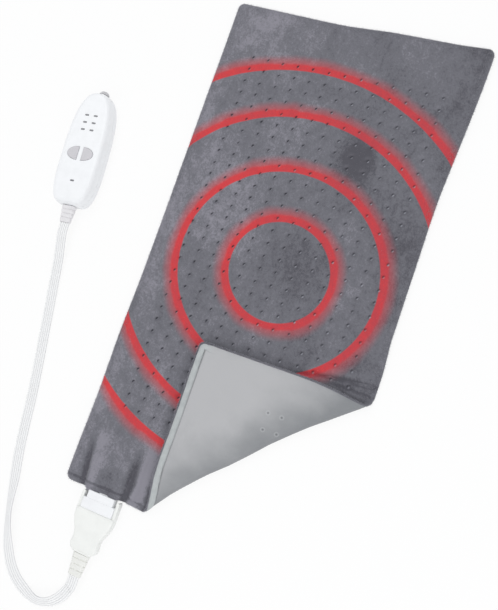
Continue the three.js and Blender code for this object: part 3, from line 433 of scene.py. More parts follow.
# The ribbon cord lies on the table from the handset's relief to the plug's and leans out in two bends.
ribbon = {
    "width": 13, "thickness": 3, "ridges": 5, "ridgeDepth": 0.55, "steps": 420,
    "lean": math.radians(35), "leans": [(0.67, 0.1), (0.9, 0.07)],
    "handset": (-271.7, -1), "handTurn": math.radians(5.2), "handLevel": 10.5,
    "handRelief": 21, "socketX": -98, "seamY": -326, "plugLevel": 6.7, "plugEnd": 73,
    "gap": 0.3, "straight": 13,
    "route": [   # seen from the seam between socket and plug
        (-165.4, 258, 4.6), (-160.4, 228, 2.6), (-154.6, 198, 1.8), (-148.5, 168, 1.8), (-142.3, 138, 1.8),
        (-136.4, 108, 1.8), (-131.6, 80, 1.8), (-127.1, 50, 1.8), (-121, 18, 1.8), (-113, -13, 1.8),
        (-104.8, -42, 1.8), (-95.5, -69, 1.8), (-84, -90, 1.8), (-68.5, -105, 1.8), (-50.5, -113.6, 1.8),
        (-33, -116, 1.8), (-18.5, -111.6, 1.8), (-8, -102, 2.2), (-2.3, -90, 3.4)],
}


def onHandset(x, y, z):
    turn = ribbon["handTurn"]
    return (ribbon["handset"][0] + x * math.cos(turn) - y * math.sin(turn),
            ribbon["handset"][1] + x * math.sin(turn) + y * math.cos(turn), z)


def ribbonPath():
    start = ribbon["handRelief"] + 2 * ribbon["gap"]
    leave = [onHandset(0, -start, ribbon["handLevel"]),
             onHandset(0, -start - ribbon["straight"], ribbon["handLevel"])]
    end = ribbon["seamY"] - ribbon["plugEnd"] - 2 * ribbon["gap"]
    arrive = [(ribbon["socketX"], end - ribbon["straight"], ribbon["plugLevel"]),
              (ribbon["socketX"], end, ribbon["plugLevel"])]
    route = [(ribbon["socketX"] + x, ribbon["seamY"] + y, z) for x, y, z in ribbon["route"]]
    return spaced(centripetal([*leave, *route, *arrive]), ribbon["steps"])


# Half the outline of a flat cord whose conductors show as ridges.
def ribbonSection():
    across = np.linspace(-1, 1, 61)
    ridge = np.abs(np.cos(across * math.pi / 2 * ribbon["ridges"]))
    rounded = (1 - np.abs(across) ** 5) ** 0.5
    height = ribbon["thickness"] / 2 * rounded - ribbon["ridgeDepth"] * (1 - ridge ** 0.7) * rounded
    x = across * ribbon["width"] / 2
    lower = np.stack([x, -height], 1)
    upper = np.stack([x, height], 1)[::-1]
    return np.concatenate([lower, upper[1:-1]])


def makeRibbon():
    path = ribbonPath()
    share = np.linspace(0, 1, len(path))
    off = [np.cos(np.clip(np.abs(share - middle) / reach, 0, 1) * math.pi / 2) ** 2
           for middle, reach in ribbon["leans"]]
    lean = ribbon["lean"] * np.max(off, axis=0)
    way = unit(np.gradient(path, axis=0))
    flat = unit(np.stack([-way[:, 1], way[:, 0], 0 * share], 1))
    rise = np.cross(way, flat)
    across = flat * np.cos(lean)[:, None] + rise * np.sin(lean)[:, None]
    up = np.cross(way, across)
    path[:, 2] += np.sin(lean) * ribbon["width"] / 2
    section = ribbonSection()
    rings = [middle + section[:, :1] * a + section[:, 1:] * u for middle, a, u in zip(path, across, up)]
    points, faces = loft(rings)
    piece = newMesh("ribbonCord", points, faces, ribbonFinish(), 60)
    around = np.tile(section[:, 0] / ribbon["width"] + 0.5, len(path))
    keepMap(piece, "along", np.stack([np.repeat(share, len(section)), around], 1))
    return piece, path


def ribbonFinish():
    finish = Finish("ribbonPlastic", {"Subsurface Weight": 0.06, "Subsurface Scale": 0.3,
                                      "Subsurface Radius": (0.003, 0.003, 0.003)})
    place = finish.node("UVMap", {"uv_map": "along"})
    _, across = finish.parts(place, 2)
    streak = finish.strands(place, (24.0, 9.0), 4.0)
    groove = (across * (ribbon["ridges"] * math.pi)).maths("SINE").maths("ABSOLUTE")
    # painted shade: the grooves between the conductors' ridges are drawn darker
    ribbonWhite, grooveShade = colour("f6f6f6"), colour("dadadc")
    finish.give("Base Color", finish.mix(finish.between(groove, 0.1, 0.75, 0.85, 0.0), ribbonWhite, grooveShade))
    finish.give("Roughness", 0.4 + 0.16 * (streak - 0.5))
    finish.give("Normal", finish.bump(finish.noise(finish.objectPlace(), 2600.0, 2.0), 0.01))
    return finish.material


cordPiece, cordPath = makeRibbon()
seat(cordPiece, "control_set", ["ribbon_cord"])
print("ribbon cord laid:", len(cordPath), "rings")

# The pad: layers drawn flat in plan and folded over at one corner by one formula
pad = {
    "width": 305, "length": 610, "corner": 8, "drawIn": 1, "hem": -305,
    "foldAt": 246.7, "foldHeight": 10.15,
    "crease": {"flat": 0.45, "low": 0.55, "reach": 42, "start": (-268, -244), "edge": [   # along it, out
        (-245, 9.6), (-228, 7.1), (-214, 5.2), (-201, 4.3), (-175, 3.4), (-162, 3.4), (-138, 4.6),
        (-113, 4.1), (-88, 3.1), (-64, 3.9), (-40, 5.1), (-28, 6.4), (-17, 7.6), (-5, 8.8), (6, 9.8),
        (17, 11.0), (30, 12.0)]},
    "sides": {"left": (-1.2, 2.2), "flare": (110, 285, 7.2), "flareFrom": 30, "pulled": (-98, 24, 2.6),
              "pulledFrom": 100},
    "topFrom": (200, 300), "topEdge": [   # along it, out
        (-160, 1.0), (-147, 0.9), (-86, -1.0), (-10, -1.6), (45, 0.7), (115, 1.0), (148, 2.9), (160, 3.4)],
    "tuftPitch": (19.4, 15.3), "tuftCentre": (5.23, 9.71), "tuftColumns": (-6, 6), "tuftRows": (-14, 15),
    "tuftMargin": 6, "sway": (75, 0.9),
}
rootTwo = math.sqrt(2)


def pastFold(x, y):
    return (x - y - pad["foldAt"]) / rootTwo


# Presses the bend flat, so that the crease is sharper than a half turn and wanders a little.
def pressed(points):
    x, y, z = np.asarray(points, float).T
    crease = pad["crease"]
    along, out = (x + y) / rootTwo, pastFold(x, y)
    onCrease = smoothStep(along, *crease["start"])
    near = smoothStep(out, -crease["reach"], 2) * onCrease
    shift = np.interp(along, *np.array(crease["edge"]).T) - crease["flat"] * pad["foldHeight"]
    move = (np.where(out > 0, out * (crease["flat"] - 1), 0) + shift * near) * onCrease / rootTwo
    return np.stack([x + move, y - move, z * (1 - (1 - crease["low"]) * near ** 2)], 1)


# Rolls what lies past the fold's line over a half turn, each layer at its own radius.
def folded(points):
    x, y, z = np.asarray(points, float).T
    past = pastFold(x, y)
    bend = math.pi * pad["foldHeight"] / 2
    reach = pad["foldHeight"] - z
    angle = np.clip(past / bend, 0, 1) * math.pi
    out = np.where(past < bend, reach * np.sin(angle), bend - past)
    move = np.where(past > 0, out - past, 0) / rootTwo
    height = np.where(past > 0, pad["foldHeight"] - reach * np.cos(angle), z)
    return pressed(np.stack([x + move, y - move, height], 1))


# Where a point of the folded corner lay before it was folded.
def unfolded(x, y):
    back = math.pi * pad["foldHeight"] / 2 - 2 * pastFold(x, y)
    return x + back / rootTwo, y - back / rootTwo


# The plan's outline as it lies: long sides that draw in, a corner that spreads, cloth never quite straight.
def drawn(x, y):
    half = pad["width"] / 2
    share = np.clip((y - pad["hem"]) / pad["length"], 0, 1)
    drawnX = x * (1 - pad["drawIn"] * np.sin(math.pi * share) / half)
    top, bottom = pad["sides"]["left"]
    drawnX = drawnX + (bottom + (top - bottom) * share) * smoothStep(-x, 0, half)
    low, high, spread = pad["sides"]["flare"]
    drawnX = drawnX + spread * smoothStep(y, low, high) * smoothStep(x, pad["sides"]["flareFrom"], half)
    place, reach, pull = pad["sides"]["pulled"]
    beside = smoothStep(x, pad["sides"]["pulledFrom"], half)
    drawnX = drawnX - pull * np.exp(-((y - place) / reach) ** 2) * beside
    edge = np.interp(x, *np.array(pad["topEdge"]).T)
    size, height = pad["sway"]
    drawnY = y + edge * smoothStep(y, *pad["topFrom"])
    return drawnX + height * bumps(x, y, size, 5), drawnY + height * bumps(x, y, size, 6)


# A grid over a rounded rectangle in plan. The profile's rows are (distance round the edge, distance in from
# the outline). It gives the plan, the distance round the edge and the distance in from the outline.
def planGrid(fromEdge, step, profile=((0, 0), (1, 1)), squeeze=0.0):
    arc, inwards = np.array(profile, float).T
    extra = arc[-1] - inwards[-1]
    radius = max(pad["corner"] - fromEdge, 1.2)
    reach = radius + extra
    core = [pad[side] / 2 - fromEdge - radius for side in ("width", "length")]
    lines = []
    for half, pitch, centre in zip(core, pad["tuftPitch"], pad["tuftCentre"]):
        line = np.linspace(-half - reach, half + reach, 4 * round((half + reach) / step / 2) + 1)
        pull = squeeze * pitch / (2 * math.pi) * np.sin(2 * math.pi * (line - centre) / pitch)
        lines.append(line - pull * smoothStep(half - np.abs(line), 0, pitch))
    flat = np.meshgrid(*lines)
    u, v = (np.clip((np.abs(f) - half) / reach, 0, 1) for f, half in zip(flat, core))
    ways = u * np.sqrt(1 - v * v / 2), v * np.sqrt(1 - u * u / 2)
    out = np.hypot(*ways)
    inside = np.minimum(core[0] - np.abs(flat[0]), core[1] - np.abs(flat[1]))
    around = np.where(out > 0, reach * (1 - out), reach + inside)
    deep = np.where(around < arc[-1], np.interp(around, arc, inwards), around - extra)
    x, y = (np.sign(f) * (np.minimum(np.abs(f), half) + way / np.maximum(out, 1e-9) * (radius - deep))
            for f, half, way in zip(flat, core, ways))
    return *drawn(x, y), around, deep


# Faces of a closed sheet: a fine grid on one side and a coarser one, a quarter as fine, on the other.
def sheetFaces(rows, columns):
    fine = np.arange(rows * columns).reshape(rows, columns)
    coarse = np.arange((rows + 3) // 4 * ((columns + 3) // 4)).reshape((rows + 3) // 4, -1) + rows * columns
    faces = gridFaces(rows, columns)
    faces += [face[::-1] for face in gridFaces(*coarse.shape, first=rows * columns)]
    sides = [(fine[0], coarse[0]), (fine[:, -1], coarse[:, -1]),
             (fine[-1][::-1], coarse[-1][::-1]), (fine[::-1, 0], coarse[::-1, 0])]
    for near, far in sides:
        for i in range(len(far) - 1):
            faces.append([*near[4 * i:4 * i + 5][::-1], far[i], far[i + 1]])
    return [[int(corner) for corner in face] for face in faces]


# How much the plush swells over the socket's tail, and its soft pleats beside it.
hem = {
    "tail": 32, "tailLength": 34, "tailTop": 10.9, "tailFrom": (2.2, 4.5), "swell": 3.2, "slope": 14,
    "bay": 50, "groove": 7, "grooveDepth": 1.1, "grooveWidth": 1.1,
    "overhang": 2.0, "level": 2.0, "lip": (9.7, 10.4),   # lies over the socket, above the latches
    "lipRises": (0, 0.25), "lipFades": (3, 16),
    "pleats": [   # x at the hem, x and y at the far end, half width, height
        (-127, -134, -232, 3.4, -3.6), (-117, -122, -215, 8.0, 1.6), (-97, -96, -225, 9.0, -0.8),
        (-73, -70, -228, 3.6, -4.2), (-63, -51, -222, 6.0, 3.0), (-48, -43, -250, 3.0, -2.2)],
    "tucks": [   # from x, y to x, y, half width, height
        ((60, -106), (150, -87), 2.0, -2.2), ((70, -98), (140, -81), 4.0, 0.8),
        ((95, -103), (146, -98), 1.6, -1.0)],
}


# How far along a line from start to end each point lies, as a share, and how far off it
def strokeAt(x, y, start, end):
    (startX, startY), runX, runY = start, end[0] - start[0], end[1] - start[1]
    length = math.hypot(runX, runY)
    along = ((x - startX) * runX + (y - startY) * runY) / length ** 2
    return along, ((x - startX) * runY - (y - startY) * runX) / length


def swellAt(x, y):
    beside = np.clip((np.abs(x - ribbon["socketX"]) - hem["tail"] / 2) / hem["slope"], 0, 1)
    behind = np.clip((y - pad["hem"] - hem["tailLength"]) / hem["bay"], 0, 1)
    return hem["swell"] * smoothStep(1 - beside, 0, 1) * smoothStep(1 - behind, 0, 1)


def pleatsAt(x, y):
    total = 0 * x
    for hemX, farX, farY, wide, high in hem["pleats"]:
        along = np.clip((y - pad["hem"]) / (farY - pad["hem"]), 0, 1)
        off = (x - hemX - (farX - hemX) * along) / (wide * (1 + 0.5 * along))
        total = total + high * np.exp(-off * off) * (1 - smoothStep(along, 0.25, 1))
    for start, end, wide, high in hem["tucks"]:
        along, off = strokeAt(x, y, start, end)
        ends = smoothStep(along, -0.05, 0.25) * smoothStep(1 - along, -0.15, 0.1)
        total = total + high * np.exp(-(off / wide) ** 2) * ends
    return total


# Sewn tufts: how near each point is to its own, and whether it has one.
def tuftsAt(x, y):
    cells = [np.round((p - centre) / pitch)
             for p, centre, pitch in zip((x, y), pad["tuftCentre"], pad["tuftPitch"])]
    offs = [p - centre - cell * pitch
            for p, centre, pitch, cell in zip((x, y), pad["tuftCentre"], pad["tuftPitch"], cells)]
    spot = [centre + cell * pitch for centre, pitch, cell in zip(pad["tuftCentre"], pad["tuftPitch"], cells)]
    sewn = (cells[0] >= pad["tuftColumns"][0]) & (cells[0] <= pad["tuftColumns"][1])
    sewn &= (cells[1] >= pad["tuftRows"][0]) & (cells[1] <= pad["tuftRows"][1])
    return *offs, *spot, sewn


plush = {
    "step": 1.5, "squeeze": 0.4, "inner": 7.3, "top": 9.8, "margin": 9.0, "marginFrom": (8, 18),
    "crownFrom": (15, 40), "reliefFrom": (1.0, 9), "underCrease": (-12, 0),
    "most": 10.05, "underFlap": [(-68, -60), (80, 92)],   # the two layers of plush meet there
    "rim": [(3.2, 0.4), (2.2, 0.05), (0.9, 0.12), (0.12, 1.3), (0, 3.1), (0.25, 5.0), (1.2, 6.7),
            (3.4, 7.95), (8.1, 8.6)],   # in from the outline, height
    "tuftDepth": 1.7, "tuftReach": 1.9, "quiltDepth": 0.7, "quiltReach": 5.2,
    "waves": [(70, 0.4, 1), (26, 0.28, 2), (9, 0.22, 3), (3.6, 0.16, 4)],
    "rimSteps": 26, "lowest": 0.02, "loose": 6,   # loose: how much higher it may stand away from the flap
}


def makePlushCover():
    rim = spaced(plainSpline(plush["rim"]), plush["rimSteps"])
    arc = np.concatenate([[0], np.cumsum(np.linalg.norm(np.diff(rim, axis=0), axis=1))])
    way = unit(np.gradient(rim, axis=0))
    lined = rim + np.stack([way[:, 1], -way[:, 0]], 1) * (plush["top"] - plush["inner"]) * 0.5
    lined[-1, 0] = rim[-1, 0]
    x, y, around, deep = planGrid(0, plush["step"], list(zip(arc, rim[:, 0])), plush["squeeze"])
    innerX, innerY, *_ = planGrid(0, plush["step"], list(zip(arc, lined[:, 0])), plush["squeeze"])
    rows, columns = x.shape
    risen = swellAt(x, y) / hem["swell"]
    overhang = hem["overhang"] * smoothStep(risen, *hem["lipRises"]) + hem["level"] * risen
    overhang = overhang * (1 - smoothStep(deep, *hem["lipFades"]))
    low = np.interp(around, arc, rim[:, 1])
    high = rim[-1, 1] + (plush["margin"] - rim[-1, 1]) * smoothStep(deep, *plush["marginFrom"])
    high = high + (plush["top"] - plush["margin"]) * smoothStep(deep, *plush["crownFrom"])
    z = np.where(around < arc[-1], low, high)
    onTop = smoothStep(deep, *plush["reliefFrom"]) * (around > arc[-1] * 0.5)
    relief = wavesAt(x, y, plush["waves"])
    offX, offY, spotX, spotY, sewn = tuftsAt(x, y)
    near = np.hypot(offX, offY)
    sewn = sewn * (pastFold(spotX, spotY) < -pad["tuftMargin"])
    dip = plush["tuftDepth"] * np.exp(-(near / plush["tuftReach"]) ** 2)
    dip = dip + plush["quiltDepth"] * np.exp(-(near / plush["quiltReach"]) ** 2)
    raised = swellAt(x, y) + pleatsAt(x, y)
    fromHem = y - pad["hem"]
    groove = hem["grooveDepth"] * np.exp(-((fromHem - hem["groove"]) / hem["grooveWidth"]) ** 2)
    z = z + onTop * (relief - dip * sewn - groove * (deep > 3))
    z = z + raised * np.clip(z / plush["margin"], 0, 1)
    pressedBy = smoothStep(x, *plush["underFlap"][0]) * smoothStep(-y, *plush["underFlap"][1])
    pressedBy = np.maximum(pressedBy, smoothStep(pastFold(x, y), *plush["underCrease"]))
    z = np.minimum(z, plush["most"] + plush["loose"] * (1 - pressedBy))
    overTail = smoothStep(swellAt(x, y), hem["swell"] * 0.5, hem["swell"] * 0.95)
    overTail = overTail * smoothStep(deep, *hem["tailFrom"])
    z = np.maximum(np.maximum(z, hem["tailTop"] * overTail), plush["lowest"])
    outer = np.stack([x, y - overhang * smoothStep(z, *hem["lip"]), z], -1)
    inside = np.where(around < arc[-1], np.interp(around, arc, lined[:, 1]), plush["inner"])
    inside = inside + np.clip(swellAt(x, y), 0, None) * np.clip(inside / plush["margin"], 0, 1)
    inner = np.stack([innerX, innerY, inside], -1)[::4, ::4]
    points = np.concatenate([outer.reshape(-1, 3), inner.reshape(-1, 3)])
    piece = newMesh("plushCover", folded(points), sheetFaces(rows, columns), plushFinish(), 180)
    keepMap(piece, "plan", points[:, :2] * mm)
    # painted shade in the pleats' valleys and painted light on their ridges, kept for the pile's colour
    keepValue(piece, "valley", np.clip(-pleatsAt(points[:, 0], points[:, 1]) / 3, -1, 1))
    keepValue(piece, "edge", np.concatenate([(around < arc[-1]).ravel(), 0 * inner[..., 0].ravel()]))
    return piece


# Short pile: broad light and dark strokes and patches; painted shade darker to the right, in the pleats'
# valleys and along the hem's groove, and painted light on the pleats' ridges; at each tuft painted shade in
# its pit, a painted glint beside it and a dimple's painted light and shade.
nap = {
    # the tuft colour is the painted shade in each tuft's pit, and the pale colour after it is the painted
    # glint beside it
    "dark": "58575e", "base": "73737a", "light": "918f98", "tuft": "35353b", "glint": "a6a7b0",
    "patches": [   # x, y, reach, how much lighter or darker
        (50, 145, 27, -1.05), (20, -10, 55, -0.35), (-45, 150, 30, 0.4), (70, 55, 28, 0.25),
        (-60, 70, 60, 0.2), (-120, 290, 60, 0.25), (125, -90, 26, -0.45), (125, 70, 22, -0.3),
        (80, 215, 40, -0.15), (-62, -250, 12, 0.3), (-120, -250, 10, 0.35), (-97, -262, 17, 0.3)],
    "patchEdge": (1.25, 0.1), "slope": -0.3,     # darker to the right
    "toRight": (-60.0, 70.0), "lowerRight": [(40.0, 80.0), (60.0, 20.0)],
    "field": [(-125.5, -125.0), (131.4, 130.9), (-211.5, -211.0), (247.4, 246.9), (-5.5, -6.5)],
    "ringStrength": 1.0, "inRight": 150,
    "ringColour": "dc4043", "glowColour": "c0464e",
    "rings": [(9, -4, 60, 57), (5, -3, 120, 114), (-2, 0, 185, 176), (-10, 3, 242, 229)],
    "ringTurn": math.radians(150), "ringWidth": 6.8, "glow": 22,
    "layers": [   # weight, then strands
        (0.95, (17.0, 11.0), 3.0, 0.5, 0.6), (0.9, (120.0, 80.0), 4.0, 0.65, 0.5, 0.3),
        (0.75, (420.0, 330.0), 2.0, 0.6, 0.3, 0.3), (1.0, (1100.0, 700.0), 3.0, 0.75, 0.0, 0.3)],
    "fluff": ((420.0, 300.0), 4.0, 0.7, 0.0, 0.3),
    "drift": 1.4, "slant": math.radians(58), "bow": 0.18, "beside": (1.5, 0.5),
    # the shapes of the painted shade in each tuft's pit and of the painted glint beside it
    "pitShade": (1.2, 0.28, 1.55, 0.45), "glintShape": (0.9, 0.5, 1.5, 0.3),
}


# How light or dark the pile is drawn: its layers of noise and its patches, with painted shade darker to the
# right, in the pleats' valleys and along the hem's groove, and painted light on the pleats' ridges
def napTone(finish, place, x, y, past):
    layers = [finish.strands(place, *strands) for _, *strands in nap["layers"]]
    tone = sum(row[0] * (layer - 0.5) for row, layer in zip(nap["layers"], layers))
    for spotX, spotY, reach, change in nap["patches"]:
        far = howFar((x - spotX) / reach, (y - spotY) / (1.3 * reach))
        tone = tone + finish.between(far, *nap["patchEdge"], 0.0, change * 0.5)
    # painted shade: darker to the right, as the light falls across the pad
    tone = tone + x * (nap["slope"] / 300)
    # painted shade along the hem's groove
    hemLine = y - (pad["hem"] + hem["groove"])
    hemGrooveShade = finish.between(hemLine.maths("ABSOLUTE"), 2.4, 0.4) * finish.between(past, 0.0, -6.0)
    return tone - 0.8 * finish.kept("valley") - 0.45 * hemGrooveShade, layers


# Rings of warmth, with a crisp inner edge and a soft outer glow
def ringGlow(finish, x, y, past, broad, strokes):
    glowing, turn = 0.0, nap["ringTurn"]
    lowerRight = finish.between(x, *nap["lowerRight"][0]) * finish.between(y, *nap["lowerRight"][1])
    for ringX, ringY, longRadius, shortRadius in nap["rings"]:
        along = ((x - ringX) * math.cos(turn) + (y - ringY) * math.sin(turn)) / longRadius
        across = ((y - ringY) * math.cos(turn) - (x - ringX) * math.sin(turn)) / shortRadius
        out = (howFar(along, across) - 1) * (longRadius + shortRadius) * 0.5
        soft = out + 9 * (broad - 0.5) + 3 * (strokes - 0.5)
        band = finish.between(out, -0.5, 0.9)
        band = band * finish.between(soft, nap["ringWidth"], nap["ringWidth"] + 4, 1, 0.6)
        band = band * finish.between(soft, nap["ringWidth"], nap["glow"], 1, 0)
        if longRadius > nap["inRight"]:
            band = band * (1 - lowerRight)
        glowing = band.maths("MAXIMUM", glowing)
    return glowing * finish.between(past, -4.0, -14.0)


# How far off its tuft a point is, with each tuft moved a little, and a random share of the tuft's own
def tuftPlace(finish, x, y):
    (pitchX, pitchY), (centreX, centreY) = pad["tuftPitch"], pad["tuftCentre"]
    cellX, cellY = ((x - centreX) / pitchX).maths("ROUND"), ((y - centreY) / pitchY).maths("ROUND")
    cell = finish.node("CombineXYZ", None, [cellX, cellY, 0.0])
    drift = finish.parts(finish.node("TexWhiteNoise", {"noise_dimensions": "3D"}, [cell], "Color"))
    return (x - centreX - cellX * pitchX + nap["drift"] * (drift[0] - 0.5),
            y - centreY - cellY * pitchY + nap["drift"] * (drift[1] - 0.5), drift[2])


# A small mark with a soft edge. shape gives its weights across and along, where it ends and where it is full.
def markAt(finish, across, along, shape):
    wide, long, end, full = shape
    return finish.between((across * across * wide + along * along * long).maths("SQRT"), end, full)


def plushFinish():
    finish = Finish("plushPile", {"Roughness": 0.95, "Sheen Weight": 0.4, "Sheen Roughness": 0.4,
                                  "Sheen Tint": (0.8, 0.8, 0.84, 1), "Specular IOR Level": 0.15})
    place, x, y, past = finish.plan()
    tone, (broad, strokes, _, fibres) = napTone(finish, place, x, y, past)
    dark, base, light, tuft, glint, ringColour, glowColour = (
        colour(nap[name]) for name in ("dark", "base", "light", "tuft", "glint", "ringColour", "glowColour"))
    shade = finish.mix(finish.between(tone, -0.55, 0.0), dark, base)
    shade = finish.mix(finish.between(tone, 0.0, 0.5), shade, light)
    glowing = ringGlow(finish, x, y, past, broad, strokes)
    red = finish.mix(finish.between(tone, -0.5, 0.5), glowColour, ringColour)
    # at each tuft painted shade in its pit, a painted glint beside it, and a dimple's painted light and shade
    offX, offY, luck = tuftPlace(finish, x, y)
    turn = nap["slant"]
    along = offX * math.cos(turn) + offY * math.sin(turn)
    across = offY * math.cos(turn) - offX * math.sin(turn)
    pitShade = markAt(finish, across + nap["bow"] * along * along, along, nap["pitShade"])
    aside, ahead = nap["beside"]
    glintAt = markAt(finish, across + aside, along + ahead, nap["glintShape"])
    inField = 1.0
    for value, edge in zip((x, x, y, y, past), nap["field"]):
        inField = finish.between(value, *edge) * inField
    toRight = finish.between(x, *nap["toRight"])
    dimpled = finish.between(howFar(offX, offY), 6.5, 1.0) * inField
    slope = (offY - offX * 0.6) * 0.11
    # painted shade on each dimple's lower right side and painted light on its upper left
    shade = finish.mix(dimpled * finish.between(slope, 0.0, -0.35, 0.0, 0.45), shade, dark)
    shade = finish.mix(dimpled * finish.between(slope, 0.0, 0.35, 0.0, 0.22), shade, light)
    shade = finish.mix(glowing * nap["ringStrength"] * 0.95, shade, red)
    # painted glint beside each tuft, stronger to the right
    shade = finish.mix(glintAt * inField * (0.25 + 0.4 * toRight) * (0.4 + luck), shade, glint)
    # painted shade in each tuft's pit, deeper to the left
    shade = finish.mix(pitShade * inField * (0.92 - 0.25 * toRight), shade, tuft)
    finish.give("Base Color", shade)
    under = finish.bump(finish.strands(place, *nap["fluff"]), 0.8, 0.7)
    finish.give("Normal", finish.bump(fibres, 0.35, 0.6, under))
    return finish.material


plushPiece = seat(makePlushCover(), "pad", ["cover_front"])
print("plush cover sewn and folded")

# Loose fibres that stand off the rim and, more thinly, off the pleats and the fold
fuzz = {"seed": 31, "rim": 30000, "top": 9000, "long": (1.0, 2.2), "thick": 0.17, "lean": 0.55,
        "leanShare": 0.7, "clear": 0.6}   # clear: lowest point above the table


def makeFuzz(cover):
    mesh = cover.data
    chance = np.random.default_rng(fuzz["seed"])
    places, ways = rowsOf(mesh.vertices, "co") / mm, rowsOf(mesh.vertex_normals, "vector")
    edge = np.zeros(len(mesh.vertices), np.float32)
    mesh.attributes["edge"].data.foreach_get("value", edge)
    corners = np.array([face.vertices[:] for face in mesh.polygons if len(face.vertices) == 4])
    first, second, third, fourth = (places[corners[:, i]] for i in range(4))
    area = np.linalg.norm(np.cross(third - first, fourth - second), axis=1)
    found = []
    onRim = edge[corners]
    for count, chosen in ((fuzz["rim"], onRim.min(1) > 0.5), (fuzz["top"], onRim.max(1) < 0.5)):
        share = area * chosen
        found.append(chance.choice(len(corners), count, p=share / share.sum()))
    found = np.concatenate(found)
    u, v = chance.uniform(0, 1, (2, len(found), 1))
    blend = lambda values: ((values[corners[found, 0]] * (1 - u) + values[corners[found, 1]] * u) * (1 - v)
                            + (values[corners[found, 3]] * (1 - u) + values[corners[found, 2]] * u) * v)
    spots, out = blend(places), blend(ways)
    out = out + chance.normal(0, fuzz["lean"], out.shape) * fuzz["leanShare"]
    long = chance.uniform(*fuzz["long"], len(spots))
    tips = spots[:, 2] + long * out[:, 2] / np.linalg.norm(out, axis=1)
    high = np.minimum(spots[:, 2], tips) > fuzz["clear"]
    spots, out, long = spots[high], out[high], long[high]
    sizes = np.stack([0 * long + fuzz["thick"], 0 * long + fuzz["thick"], long], 1)
    angles = np.arange(3) * 2 * math.pi / 3
    root = np.stack([0.5 * np.cos(angles), 0.5 * np.sin(angles), 0 * angles - 0.1], 1)
    blade = newMesh("blade", np.concatenate([root, [[0.25, 0, 1.0]]]),
                    [[2, 1, 0], [0, 1, 3], [1, 2, 3], [2, 0, 3]], finishes["white"])
    return placeCopies("plushFuzz", spots, out, blade, fuzzFinish(), sizes,
                       chance.uniform(0, 2 * math.pi, len(spots)), smooth=False)


def fuzzFinish():
    finish = Finish("plushFuzz", {"Roughness": 0.9, "Sheen Weight": 0.3, "Specular IOR Level": 0.1})
    shade = finish.noise(finish.objectPlace(), 220.0, 2.0)
    finish.give("Base Color", finish.mix(shade, colour("7c7c84"), colour("aeaeb6")))
    return finish.material


fuzzPiece = seat(makeFuzz(plushPiece), "pad")
print("fuzz stands:", len(fuzzPiece.data.polygons) // 4, "fibres")

# Lining: the smooth pale back, which shows on the folded corner with its soft wrinkles
lining = {
    "inset": 8.9, "step": 3.0, "thickness": 1.0, "hemmed": (284, 294),
    "wrinkles": [   # on the folded corner: x, y to x, y, half width, height
        (-23, -190, -32, -232, 3.2, 1.9), (-16, -190, -24, -232, 3.6, -1.2), (21, -177, 10, -215, 3.2, 2.0),
        (32, -174, 24, -205, 4.0, -1.9), (44, -160, 40, -190, 5.0, 1.5), (-44, -225, -38, -262, 4.0, -1.2),
        (62, -128, 100, -122, 7.0, 1.3)],
    "dimples": [(102.2, -204.5), (102.2, -189.2), (82.8, -204.5), (82.8, -189.2)],
    "dimpleDepth": 0.7, "dimpleReach": 2.2, "reliefFrom": 9, "loosePast": 12, "edge": (1.1, 0.3),
    # seamLine places the painted shade beside the rolled seam; the seam colour is that painted shade, also
    # used in each dimple's centre
    "seamLine": (10.6, 9.4), "dimpleRimLight": "cfd0d2", "waves": [(34, 0.35, 11), (9, 0.12, 12)],
    "light": "b9b9bb", "dark": "8b8d90", "seam": "5f6163",
}


def liningRelief(x, y):
    relief = wavesAt(x, y, lining["waves"])
    for startX, startY, endX, endY, wide, high in lining["wrinkles"]:
        along, off = strokeAt(x, y, unfolded(startX, startY), unfolded(endX, endY))
        inside = smoothStep(along, -0.25, 0.3) * smoothStep(1 - along, -0.25, 0.3)
        relief = relief + high * inside * np.exp(-(off / wide) ** 2)
    for spotX, spotY in lining["dimples"]:
        near = np.hypot(x - spotX, y - spotY)
        relief = relief - lining["dimpleDepth"] * np.exp(-(near / lining["dimpleReach"]) ** 2)
    return relief


# A plain layer between two heights. relief moves its lower side, which is the outside of the lining.
def makeLayer(name, fromEdge, low, high, step, finish, trim=0.0, relief=None):
    x, y, _, deep = planGrid(fromEdge, step)
    rows, columns = x.shape
    y = np.maximum(y, pad["hem"] + fromEdge + trim)
    under = 0 * x + low
    if relief is not None:
        shaped = relief(x, y) * smoothStep(deep, 0, lining["reliefFrom"])
        lifted = smoothStep(pastFold(x, y), 0, lining["loosePast"])
        hemmed = smoothStep(-y, *lining["hemmed"])
        reach, height = lining["edge"]
        under = under - shaped * lifted + np.exp(-deep / reach) * height * hemmed
    lower = np.stack([x, y, under], -1)
    upper = np.stack([x, y, 0 * x + high], -1)[::4, ::4]
    points = np.concatenate([lower.reshape(-1, 3), upper.reshape(-1, 3)])
    faces = [face[::-1] for face in sheetFaces(rows, columns)]
    piece = newMesh(name, folded(points), faces, finish, 60)
    keepMap(piece, "plan", points[:, :2] * mm)
    return piece


def feltFinish():
    finish = Finish("needledFelt", {"Roughness": 1.0, "Sheen Weight": 0.25, "Sheen Roughness": 0.5,
                                    "Specular IOR Level": 0.2})
    place = finish.node("UVMap", {"uv_map": "plan"})
    brushed = finish.strands(place, (700.0, 500.0), 4.0, 0.7)
    cloudy = finish.strands(place, (45.0, 30.0))
    share = 0.5 + 0.9 * (brushed - 0.5) + 0.8 * (cloudy - 0.5)
    finish.give("Base Color", finish.mix(share, colour(felts["dark"]), colour(felts["light"])))
    finish.give("Normal", finish.bump(brushed, 0.3, 0.5))
    return finish.material


